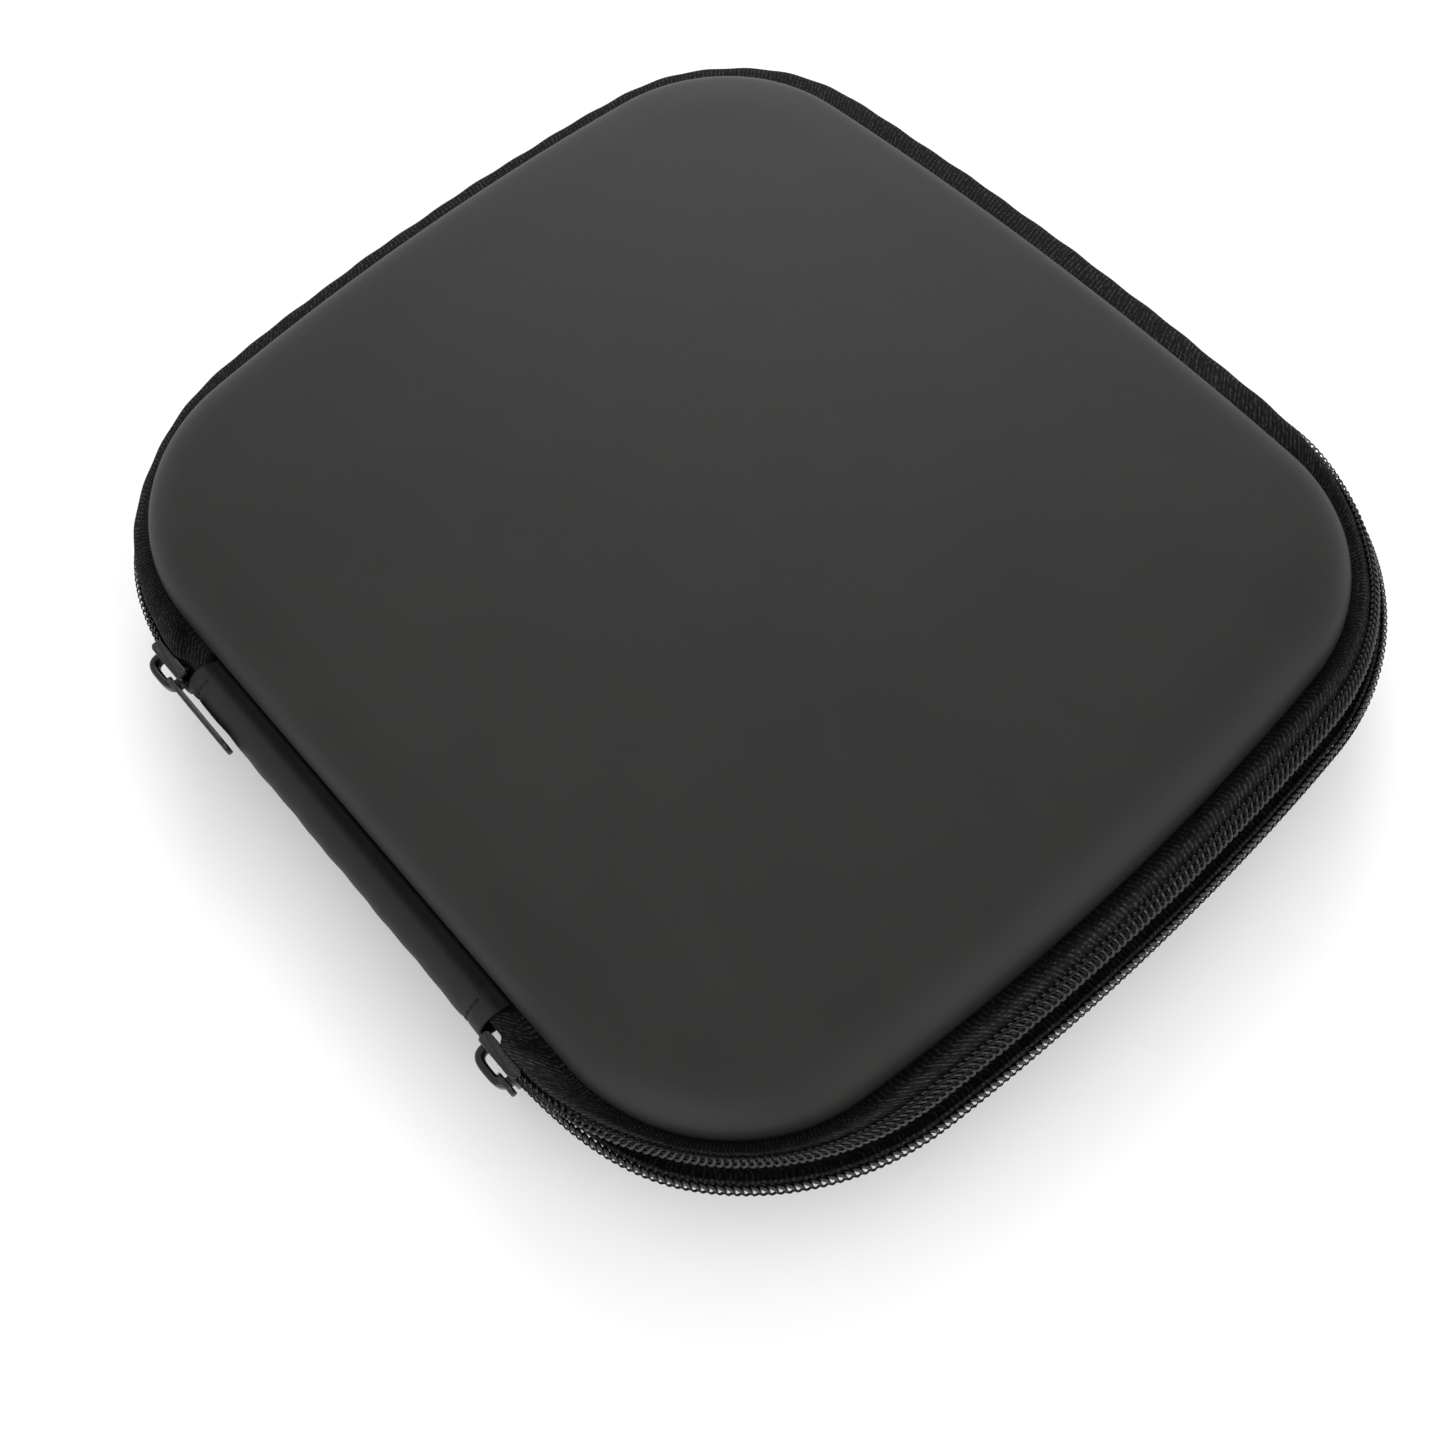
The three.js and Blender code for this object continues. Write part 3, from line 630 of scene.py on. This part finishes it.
def make_shells():
    """Skin, foam and lining of both halves."""
    for side, total, towards, crown, shift in (
        ("lid", LID_TOP, 1, CROWN_RISE, LID_SHIFT),
        ("base", RIM_Z, -1, 0.0, 0.0),
    ):
        skin_outer = wall_profile(total, crown, 0)
        skin_inner = wall_profile(total, crown, SKIN)
        foam_outer = wall_profile(total, crown, SKIN + FIT)
        lining_outer = lining_profile(total, 0)
        lining_inner = lining_profile(total, LINING)
        foam_inner = lining_profile(total, -FIT)
        layers = (
            ("_shell", skin_outer, skin_inner, crown, SKIN_LOOK, "_skin", "leather"),
            ("_foam", foam_outer, foam_inner, crown, FOAM_LOOK, "_foam_shell", "foam"),
            ("_lining_cloth", lining_outer, lining_inner, 0.0, LINING_LOOK, "_lining", "lining"),
        )
        for ending, outer, inner, rise, look, node, slot in layers:
            obj = shell_layer(side + ending, outer, inner, towards, rise, look, shift)
            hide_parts(side + node)
            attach(obj, side)
        binding = frame["nodes"][side + "_seam_binding"]
        binding.data.materials.clear()
        binding.data.materials.append(ELASTIC_LOOK)


# ---- zipper ----------------------------------------------------------------------------------------

# Place and direction of each coil's tooth heads, apart, drawn together and folded over, each as
# (inset, height, degrees). The direction runs from the heads to the stitched edge, counted from
# inwards towards up.
LID_HEADS = ((3.4, 3.4, 34), (3.6, 0.95, 86), (5.2, 1.4, 130))
BASE_HEADS = ((1.45, -0.55, -90), (3.6, 0.35, -90), (2.6, 0.1, -90))


def coil_frames(heads, along):
    """Insets, heights and unit directions of the tooth heads at places along the rim."""
    together = drawn_together(along)
    folded = folded_over(along)
    weights = np.stack([1 - together - folded, together, folded], -1)
    inset, height, degrees = np.moveaxis(weights @ np.array(heads, float), -1, 0)
    angle = np.radians(degrees)
    return inset, height, np.cos(angle), np.sin(angle)


def on_coil(heads, along, back, out):
    """Points on or over a coil: back from the tooth heads along the tape, and out from the tape."""
    inset, height, run_s, run_h = coil_frames(heads, along)
    upward = heads is LID_HEADS
    out_s, out_h = (-run_h, run_s) if upward else (run_h, -run_s)
    return ring_points(along, inset + run_s * back + out_s * out, height + run_h * back + out_h * out)


def rim_direction(along):
    """Unit directions along the rim."""
    _, _, out_x, out_y = on_ring(along, 0.0)
    return np.stack([out_y, -out_x, np.zeros_like(out_x)], -1)


def coil_wire(heads, start, stop, wobble):
    """One side's monofilament: a flattened spiral whose loops end in the tooth heads."""
    teeth = round((stop - start) / PITCH)
    pitch = (stop - start) / teeth
    samples = 14
    turn = np.arange(teeth * samples + 1) / samples
    phase = 2 * math.pi * (turn % 1)
    lean = COIL_LEAN * pitch * np.sin(phase)
    along = start + turn * pitch + lean
    irregular = wobble.normal(0, COIL_SWAY, teeth + 2)
    shift = np.interp(turn, np.arange(teeth + 2), irregular)
    half = (COIL_LENGTH - 2 * WIRE) / 2
    rounding = np.sign(np.cos(phase)) * np.abs(np.cos(phase)) ** 0.75
    back = WIRE + half * (1 - rounding) + shift
    out = COIL_HEIGHT / 2 + (COIL_HEIGHT / 2 - WIRE) * np.sin(phase) + TAPE / 2
    bulge = WIRE * (1 + HEAD_BULGE * np.clip(np.cos(phase), 0, 1) ** 4)
    return tube(on_coil(heads, along, back, out), bulge * MM, 8, rim_direction(along))


def coil_stitches(heads, start, stop, back, sway, phase):
    """A sewing thread that crosses over every tooth and dips between them."""
    teeth = round((stop - start) / PITCH)
    samples = 8
    turn = np.arange(teeth * samples + 1) / samples
    along = start + turn * (stop - start) / teeth
    wave = 2 * math.pi * turn
    across = back + sway * np.sin(wave / 2 + phase)
    out = TAPE / 2 + COIL_HEIGHT + 0.02 + 0.14 * np.cos(wave)
    points = on_coil(heads, along, across, out)
    return tube(points, STITCH_RADIUS * MM, 5, np.array([0.3, 0.2, 0.9]))


def tape_section(heads, along, far_inset, far_height, rows=22):
    """Middle line of a tape from under the shell's edge out to the tooth heads, one row per place."""
    inset, height, run_s, run_h = coil_frames(heads, along)
    back = COIL_LENGTH + 0.5
    knee = np.stack([inset + run_s * back, height + run_h * back], -1)
    edge = np.stack([inset + run_s * 0.3, height + run_h * 0.3], -1)
    far = np.broadcast_to([far_inset, far_height], knee.shape)
    lead = knee + np.stack([run_s, run_h], -1) * 1.9
    bend = far + np.array([-1.6, 0.75 * np.sign(far_height)])
    t = np.linspace(0, 1, rows - 5)[None, :, None]
    curve = ((1 - t) ** 3 * far[:, None] + 3 * (1 - t) ** 2 * t * bend[:, None]
             + 3 * (1 - t) * t**2 * lead[:, None] + t**3 * knee[:, None])
    u = np.linspace(0.2, 1, 5)[None, :, None]
    flat = knee[:, None] * (1 - u) + edge[:, None] * u
    line = np.concatenate([curve, flat], 1)
    return line[..., 0], line[..., 1]


def tape_band(name, heads, start, stop, towards):
    """A tape, rippled a little between its sewn edges and tucked under the strip at the spine."""
    along = np.linspace(start, stop, int((stop - start) / 0.9))
    inset, height = tape_section(heads, along, WALL_INSET + 1.7, (SKIN_EDGE - 0.5) * towards)
    from_strip = np.minimum(along - STRIP_LEFT_AT, STRIP_RIGHT_AT - along)
    tucked = smooth(1 - from_strip / TUCK)[:, None]
    height = height * (1 - TUCK_DROP * tucked)
    inset = inset + 0.5 * tucked * np.maximum(TUCK_INSET - inset, 0)
    ripple = 0.10 * np.sin(along * 0.61) + 0.07 * np.sin(along * 0.23 + 1.3)
    step_s = np.gradient(inset, axis=1)
    step_h = np.gradient(height, axis=1)
    length = np.hypot(step_s, step_h)
    side_s, side_h = -step_h / length, step_s / length
    free = np.sin(np.linspace(0, math.pi, inset.shape[1]))[None, :]
    inset = inset + side_s * ripple[:, None] * free
    height = height + side_h * ripple[:, None] * free
    half_s = side_s * TAPE / 2
    half_h = side_h * TAPE / 2
    inset = np.concatenate([inset + half_s, (inset - half_s)[:, ::-1]], 1)
    height = np.concatenate([height + half_h, (height - half_h)[:, ::-1]], 1)
    return band(name, along, inset, height, TAPE_LOOK)


def lid_end_blend(obj):
    """Bakes the lid piece's placement into its mesh."""
    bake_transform(obj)


def make_zipper():
    """Tapes, coils and their stitching, each in a left and a right half that meet at the front."""
    wobble = np.random.default_rng(7)
    front = AROUND / 2
    spans = {"left": (LEFT_AT, front), "right": (front, RIGHT_AT)}
    strip_end = {"left": STRIP_LEFT_AT - TAPE_UNDER_STRIP, "right": STRIP_RIGHT_AT + TAPE_UNDER_STRIP}
    for side, (start, stop) in spans.items():
        tape_span = (strip_end["left"], front) if side == "left" else (front, strip_end["right"])
        for body, heads, towards in (("lid", LID_HEADS, 1), ("base", BASE_HEADS, -1)):
            tape = tape_band(f"{body}_tape_{side}", heads, *tape_span, towards)
            wire = coil_wire(heads, start, stop, wobble)
            coil = outward(new_object(f"{body}_coil_{side}", *wire, COIL_LOOK))
            threads = []
            for back, sway in STITCH_ROWS:
                for phase in (0, math.pi):
                    threads.append(coil_stitches(heads, start, stop, back, sway, phase))
            sewn = outward(new_object(f"{body}_coil_stitching_{side}", *merged(threads), THREAD_LOOK))
            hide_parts(body + "_zipper_tape")
            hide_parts(body + "_zipper_coil")
            for obj, slot in ((tape, "tape"), (coil, "nylon"), (sewn, "tape")):
                if body == "lid":
                    lid_end_blend(obj)
                else:
                    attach(obj, body)


# ---- spine -----------------------------------------------------------------------------------------

STRIP_RADIUS = 4.0
STRIP_APEX = 1.9  # inset of the strip's outermost line
STRIP_THICK = 0.8
STRIP_EDGE = (9.55, 2.6)  # where its long edges meet the moulded walls
STITCHED_AT = (SPINE_LEFT + 4, SPINE_RIGHT - 3.2)  # x of the two sewn lines
SEWN_IN = 0.28  # how far they pull the strip in
SEAM_STITCHES = 8
SEAM_THREAD = 0.2


def strip_pinch(x):
    """How far the sewn lines pull the strip in."""
    return sum(SEWN_IN * np.exp(-(((x - seam) / 0.8) ** 2)) for seam in STITCHED_AT)


def strip_section(x, radius_change, steps=34):
    """(inset, height) round the strip at one x, from the lid's wall to the base's."""
    ripple = 0.06 * math.sin(x * 0.31) + 0.05 * math.sin(x * 0.83)
    radius = STRIP_RADIUS + radius_change - strip_pinch(x) + ripple
    centre = STRIP_APEX + STRIP_RADIUS
    edge_inset, edge_height = STRIP_EDGE
    wall = []
    for i in range(5):
        t = i / 5
        height = (edge_height + radius_change) * (1 - smooth(t)) + radius * smooth(t)
        wall.append((edge_inset + (centre - edge_inset) * t, height))
    points = list(wall)
    for i in range(steps + 1):
        angle = math.pi / 2 + math.pi * i / steps
        points.append((centre + radius * math.cos(angle), radius * math.sin(angle)))
    points.extend((inset, -height) for inset, height in reversed(wall))
    return points


def sweep_spine(name, section_at, left, right, steps, material):
    """A section of (inset, height) points, which may change with x, swept along the spine."""
    xs = np.linspace(left, right, steps)
    verts = []
    for x in xs:
        for inset, height in section_at(x):
            verts.append((x * MM, (HALF_DEPTH - inset) * MM, (RIM_Z + height) * MM))
    return outward(new_object(name, verts, swept_faces(steps, len(verts) // steps), material))


def bend_with_lid(obj):
    """Bakes the spine piece's placement into its mesh."""
    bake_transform(obj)


def spine_stitches():
    """Short thread stitches round the strip at each sewn line."""
    parts = []
    centre = STRIP_APEX + STRIP_RADIUS
    half = math.pi / SEAM_STITCHES * 0.36
    for seam in STITCHED_AT:
        for i in range(SEAM_STITCHES):
            middle = math.pi / 2 + math.pi * (i + 0.5) / SEAM_STITCHES
            path = []
            for t in np.linspace(-1, 1, 7):
                angle = middle + half * t
                radius = STRIP_RADIUS - SEWN_IN + 0.12 - 0.22 * t * t
                y = HALF_DEPTH - centre - radius * math.cos(angle)
                path.append((seam * MM, y * MM, (RIM_Z + radius * math.sin(angle)) * MM))
            parts.append(tube(path, SEAM_THREAD * MM, 8, np.array([1.0, 0, 0])))
    return outward(new_object("spine_stitching", *merged(parts), SEAM_LOOK))


def cover_section(x):
    """The strip's outside and inside at one x, thinned at its ends."""
    edge = 1 - 0.35 * math.exp(-min(x - SPINE_LEFT, SPINE_RIGHT - x) / 0.5)
    return strip_section(x, 0) + strip_section(x, -STRIP_THICK * edge)[::-1]


def gusset_section(x):
    """The gusset's cloth, folded in two: the same at every x."""
    line = [(12.4 - 6.6 * t, 0.62 - 0.3 * t) for t in np.linspace(0, 1, 7)]
    fold = [(5.6, 0.2), (5.45, 0), (5.6, -0.2)]
    outer = line + fold + [(s, -h) for s, h in line[::-1]]
    inside = [(12.4 - 6.2 * t, -0.12 + 0.05 * t) for t in np.linspace(0, 1, 7)]
    return outer + inside + [(s, -h) for s, h in inside[::-1]]


def make_spine():
    """The strip round the spine, its stitching and the gusset inside it."""
    cover = sweep_spine("spine_strip", cover_section, SPINE_LEFT, SPINE_RIGHT, 240, STRIP_LOOK)
    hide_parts("spine_cover")
    bend_with_lid(cover)
    stitching = spine_stitches()
    bend_with_lid(stitching)
    name = "spine_gusset_cloth"
    gusset = sweep_spine(name, gusset_section, SPINE_LEFT, SPINE_RIGHT, 100, LINING_LOOK)
    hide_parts("spine_gusset")
    bend_with_lid(gusset)


# ---- sliders and pullers ---------------------------------------------------------------------------


def prism(outline, low, high, bevel, axis):
    """A polygon in a plane, given thickness along an axis (0, 1 or 2), with rounded edges."""
    bm = bmesh.new()
    corners = []
    plane = [i for i in range(3) if i != axis]
    for u, v in outline:
        point = [0.0, 0.0, 0.0]
        point[plane[0]] = u * MM
        point[plane[1]] = v * MM
        point[axis] = low * MM
        corners.append(bm.verts.new(point))
    face = bm.faces.new(corners)
    step = Vector((0, 0, 0))
    step[axis] = (high - low) * MM
    made = bmesh.ops.extrude_face_region(bm, geom=[face])
    moved = [v for v in made["geom"] if isinstance(v, bmesh.types.BMVert)]
    bmesh.ops.translate(bm, vec=step, verts=moved)
    bmesh.ops.recalc_face_normals(bm, faces=bm.faces)
    sharp = [edge for edge in bm.edges if edge.calc_face_angle(0) > 0.9]
    bmesh.ops.bevel(bm, geom=sharp, offset=bevel * MM, segments=3, profile=0.5, affect="EDGES")
    verts = [tuple(v.co) for v in bm.verts]
    index = {v: i for i, v in enumerate(bm.verts)}
    faces = [[index[v] for v in f.verts] for f in bm.faces]
    bm.free()
    return verts, faces


def rounded(low_x, low_y, high_x, high_y, radius, steps=6):
    """Corner points of a rectangle with rounded corners."""
    points = []
    centres = [(high_x - radius, high_y - radius, 0), (low_x + radius, high_y - radius, 90),
               (low_x + radius, low_y + radius, 180), (high_x - radius, low_y + radius, 270)]
    for cx, cy, start in centres:
        for i in range(steps + 1):
            angle = math.radians(start + 90 * i / steps)
            points.append((cx + radius * math.cos(angle), cy + radius * math.sin(angle)))
    return points


def swept_strap(path, width, thick):
    """A flat strap with rounded edges along a path in the XY plane; width is along Z."""
    path = np.asarray(path, float)
    tangent = np.gradient(path, axis=0)
    tangent /= np.linalg.norm(tangent, axis=1, keepdims=True)
    normal = np.stack([-tangent[:, 1], tangent[:, 0]], -1)
    section = rounded(-thick / 2, -width / 2, thick / 2, width / 2, min(thick, width) * 0.42, 4)
    verts = []
    for (x, y), (nx, ny) in zip(path, normal):
        for across, up in section:
            verts.append(((x + nx * across) * MM, (y + ny * across) * MM, up * MM))
    return verts, swept_faces(len(path), len(section))


def slider_body(coil_end):
    """A slider in its own frame: X along the track, Y outwards, Z up.

    coil_end is the sign of x at the end where the coils go in.
    """
    half = SLIDER_LENGTH / 2
    face = CHANNEL_OUT + PLATE
    half_height = 3.9
    lip_low = 3.0
    lip_high = 3.85
    nose = []
    for x, z in rounded(-half, -half_height, half, half_height, 2.2, 7):
        towards_spine = -x * coil_end / half
        nose.append((x, z * (1 - 0.16 * max(towards_spine, 0) ** 2)))
    outer = prism(nose, CHANNEL_OUT, face, 0.28, 1)
    lip_outline = rounded(-half + 0.3, 0.35, half - 0.3, face - 0.1, 0.9, 5)
    top_lip = prism(lip_outline, lip_low, lip_high, 0.3, 2)
    low_lip = prism(lip_outline, -lip_high, -lip_low, 0.3, 2)
    inner_outline = rounded(-half + 0.9, -1.75, half - 0.9, 0.5, 0.9, 5)
    inner = prism(inner_outline, -CHANNEL_IN - INNER_PLATE, -CHANNEL_IN, 0.18, 1)
    post = prism(rounded(-2, -0.5, 2, 0.5, 0.45, 4), -CHANNEL_IN - 0.4, CHANNEL_OUT + 0.4, 0.1, 1)
    path = []
    bridge_width = 2.9
    bridge_thick = 1.6
    rooted = 0.45  # depth of the bridge's feet in the plate
    reach = BRIDGE_OUT - bridge_thick / 2 + rooted
    for t in np.linspace(0, math.pi, 29):
        x = -BRIDGE_LEG * math.copysign(abs(math.cos(t)) ** BRIDGE_SQUARENESS, math.cos(t))
        path.append((x, face - rooted + reach * math.sin(t) ** BRIDGE_SQUARENESS))
    bridge = swept_strap(path, bridge_width, bridge_thick)
    return merged([outer, top_lip, low_lip, inner, post, bridge])


def puller_tab():
    """A flat puller: eye round the origin, tab towards -X, faces across Z."""
    length = 19.0
    half = 2.6
    eye = 1.45  # radius of the ends of the eye
    eye_length = 3.0  # between the middles of those ends
    outer = []
    inner = []
    steps = 16
    for i in range(steps + 1):
        angle = -math.pi / 2 + math.pi * i / steps
        outer.append((half * 0.9 * math.cos(angle), half * 0.9 * math.sin(angle)))
        inner.append((eye * math.cos(angle), eye * math.sin(angle)))
    for i in range(steps + 1):
        angle = math.pi / 2 + math.pi * i / steps
        outer.append((-length + half + half * math.cos(angle), half * math.sin(angle)))
        inner.append((-eye_length + eye * math.cos(angle), eye * math.sin(angle)))
    thick = 0.55
    soften = 0.18
    layers = [(-thick, soften), (-thick + soften, 0.0), (thick - soften, 0.0), (thick, soften)]
    count = len(outer)
    verts = []
    for z, shrink in layers:
        for x, y in outer:
            cx = 0 if x > -length / 2 else -length + half
            reach = math.hypot(x - cx, y)
            k = (reach - shrink) / reach
            verts.append(((cx + (x - cx) * k) * MM, y * k * MM, z * MM))
    for z, shrink in layers[::-1]:
        for x, y in inner:
            cx = 0 if x > -eye_length / 2 else -eye_length
            reach = max(math.hypot(x - cx, y), 1e-6)
            k = (reach + shrink) / reach
            verts.append(((cx + (x - cx) * k) * MM, y * k * MM, z * MM))
    return verts, grid_faces(2 * len(layers), count, wrap_rows=True, wrap_columns=True)


def placed(part, matrix):
    """A (verts, faces) pair moved by a matrix."""
    verts, faces = part
    return [tuple(matrix @ Vector(v)) for v in verts], faces


def make_sliders():
    """Both sliders, each with its puller. The right puller lies along the spine; the left one hangs."""
    centre_y = PLATE_IN_Y + CHANNEL_IN + INNER_PLATE
    for side, coil_end in (("left", -1), ("right", 1)):
        place = Matrix.Translation(Vector((SLIDER_X[side], centre_y, RIM_Z + SLIDER_UP)) * MM)
        cast = placed(slider_body(coil_end), place)
        body = outward(new_object("zip_slider_" + side, *cast, METAL_LOOK))
        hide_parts("slider_" + side)
        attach(body, "slider_" + side)
        pivot = Vector((-BRIDGE_LEG, CHANNEL_OUT + PLATE + PIVOT_OUT, 0)) * MM
        turn = Matrix.Rotation(math.pi / 2, 4, "X")
        if side == "left":
            turn = Matrix.Rotation(-math.pi / 2 - PULLER_LEAN, 4, "Y") @ turn
        moved = place @ Matrix.Translation(pivot) @ turn
        tab = outward(new_object("zip_puller_" + side, *placed(puller_tab(), moved), METAL_LOOK))
        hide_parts("puller_" + side)
        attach(tab, "puller_" + side)


# ---- net pocket ------------------------------------------------------------------------------------


NET_INSET = 13.6  # of the net's sewn edge
NET_SAG = 1.6
NET_UP = 0.3  # its sewn edge above the underside of its node


def net_sheet(low, high):
    """The net: sewn in round the front of the lid, with a straight free edge at high.y."""
    along = np.linspace(0, AROUND, 360, endpoint=False)
    rim = ring_points(along, NET_INSET, 0.0)
    rim = rim[rim[:, 1] < high.y]
    straight = [(x, high.y) for x in np.linspace(high.x, -high.x, 60)]
    loop = np.array([(x, y) for x, y in rim[:, :2]] + straight)
    centre = np.array([0, (low.y + high.y) / 2])
    rings = 26
    count = len(loop)
    verts = []
    for i in range(rings):
        t = 1 - i / rings
        for x, y in centre + (loop - centre) * t:
            sag = NET_SAG * (1 - t * t) + 0.25 * math.sin(x * 260) * (1 - t)
            verts.append((x, y, low.z + (NET_UP + sag) * MM))
    faces = grid_faces(rings, count, wrap_columns=True)
    verts.append((centre[0], centre[1], low.z + (NET_UP + NET_SAG) * MM))
    last = (rings - 1) * count
    for i in range(count):
        faces.append([last + i, last + (i + 1) % count, len(verts) - 1])
    return new_object("pocket_net_sheet", verts, faces, NET_LOOK)


def elastic_band(low, high):
    """The net's elastic edge, a little gathered."""
    verts = []
    steps = 260
    middle = (low.z + high.z) / 2
    section = rounded(low.y / MM, low.z / MM, high.y / MM, high.z / MM, 0.55, 4)
    for i, x in enumerate(np.linspace(low.x, high.x, steps)):
        gather = 0.00022 * math.sin(i * 1.05) + 0.0001 * math.sin(i * 0.37)
        for y, z in section:
            verts.append((x, y * MM, middle + (z * MM - middle) * 0.8 + gather))
    uv = [(v[0], v[1]) for v in verts]
    faces = swept_faces(steps, len(section))
    return outward(new_object("pocket_elastic_band", verts, faces, ELASTIC_LOOK, uv))


def make_pocket():
    """The net pocket in the lid and its elastic edge."""
    low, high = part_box("lid_pocket_net")
    sheet = net_sheet(low, high)
    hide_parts("lid_pocket_net")
    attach(sheet, "lid")
    elastic = elastic_band(*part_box("lid_pocket_elastic"))
    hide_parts("lid_pocket_elastic")
    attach(elastic, "lid")


# ---- camera, light and floor -----------------------------------------------------------------------


CAMERA_AT = Vector((-133.98, 98.88, RIM_Z + 269.53))
CAMERA_AIM = Vector((-27.1, 27.4, RIM_Z))
CAMERA_ROLL = math.radians(-8.65)
SENSOR = 36
LENS = 39.78


def make_camera():
    """The camera, above the corner between the spine and the -X side."""
    camera = bpy.data.objects.new("camera", bpy.data.cameras.new("camera"))
    bpy.context.scene.collection.objects.link(camera)
    camera.data.sensor_width = SENSOR
    camera.data.lens = LENS
    camera.data.clip_start = 0.01
    place = CAMERA_AT * MM
    aim = CAMERA_AIM * MM
    camera.matrix_world = (
        Matrix.Translation(place)
        @ (aim - place).to_track_quat("-Z", "Y").to_matrix().to_4x4()
        @ Matrix.Rotation(CAMERA_ROLL, 4, "Z")
    )
    bpy.context.scene.camera = camera


def make_light(name, place, aim, size, power):
    """A rectangular softbox at place, in metres, turned towards aim."""
    light = bpy.data.lights.new(name, "AREA")
    light.shape = "RECTANGLE"
    light.size, light.size_y = size
    light.energy = power
    obj = bpy.data.objects.new(name, light)
    obj.location = place
    obj.rotation_euler = (Vector(aim) - Vector(place)).to_track_quat("-Z", "Y").to_euler()
    bpy.context.scene.collection.objects.link(obj)


def make_studio():
    """An even white surround, three softboxes and a pale floor."""
    world = bpy.data.worlds.new("studio")
    bpy.context.scene.world = world
    world.use_nodes = True
    background = world.node_tree.nodes["Background"]
    background.inputs["Color"].default_value = (1, 1, 1, 1)
    background.inputs["Strength"].default_value = 1.0
    make_light("far_softbox", (0.85, -0.75, 0.8), (0, 0, 0), (0.8, 0.8), 8)
    make_light("spine_side_softbox", (-0.45, 0.8, 0.35), (0, 0.05, 0.02), (0.6, 0.4), 2.5)
    make_light("near_fill", (-0.8, -0.2, 0.4), (0, 0, 0), (0.6, 0.6), 2)
    look = Nodes("pale_floor")
    tone = look.ramp(look.noise(6, 3, 0.5), (0.86, 0.86, 0.86), (0.9, 0.9, 0.9), 0.3, 0.7)
    look.finish(Base_Color=tone, Roughness=look.ramp(look.noise(200, 2, 0.5), 0.55, 0.65))
    size = 3.0
    corners = [(-size, -size, 0), (size, -size, 0), (size, size, 0), (-size, size, 0)]
    floor = new_object("floor", corners, [(0, 1, 2, 3)], look.material, smooth_shaded=False)
    bpy.context.scene.view_settings.view_transform = "Standard"


make_camera()
make_shells()
make_zipper()
make_spine()
make_sliders()
make_pocket()
make_studio()
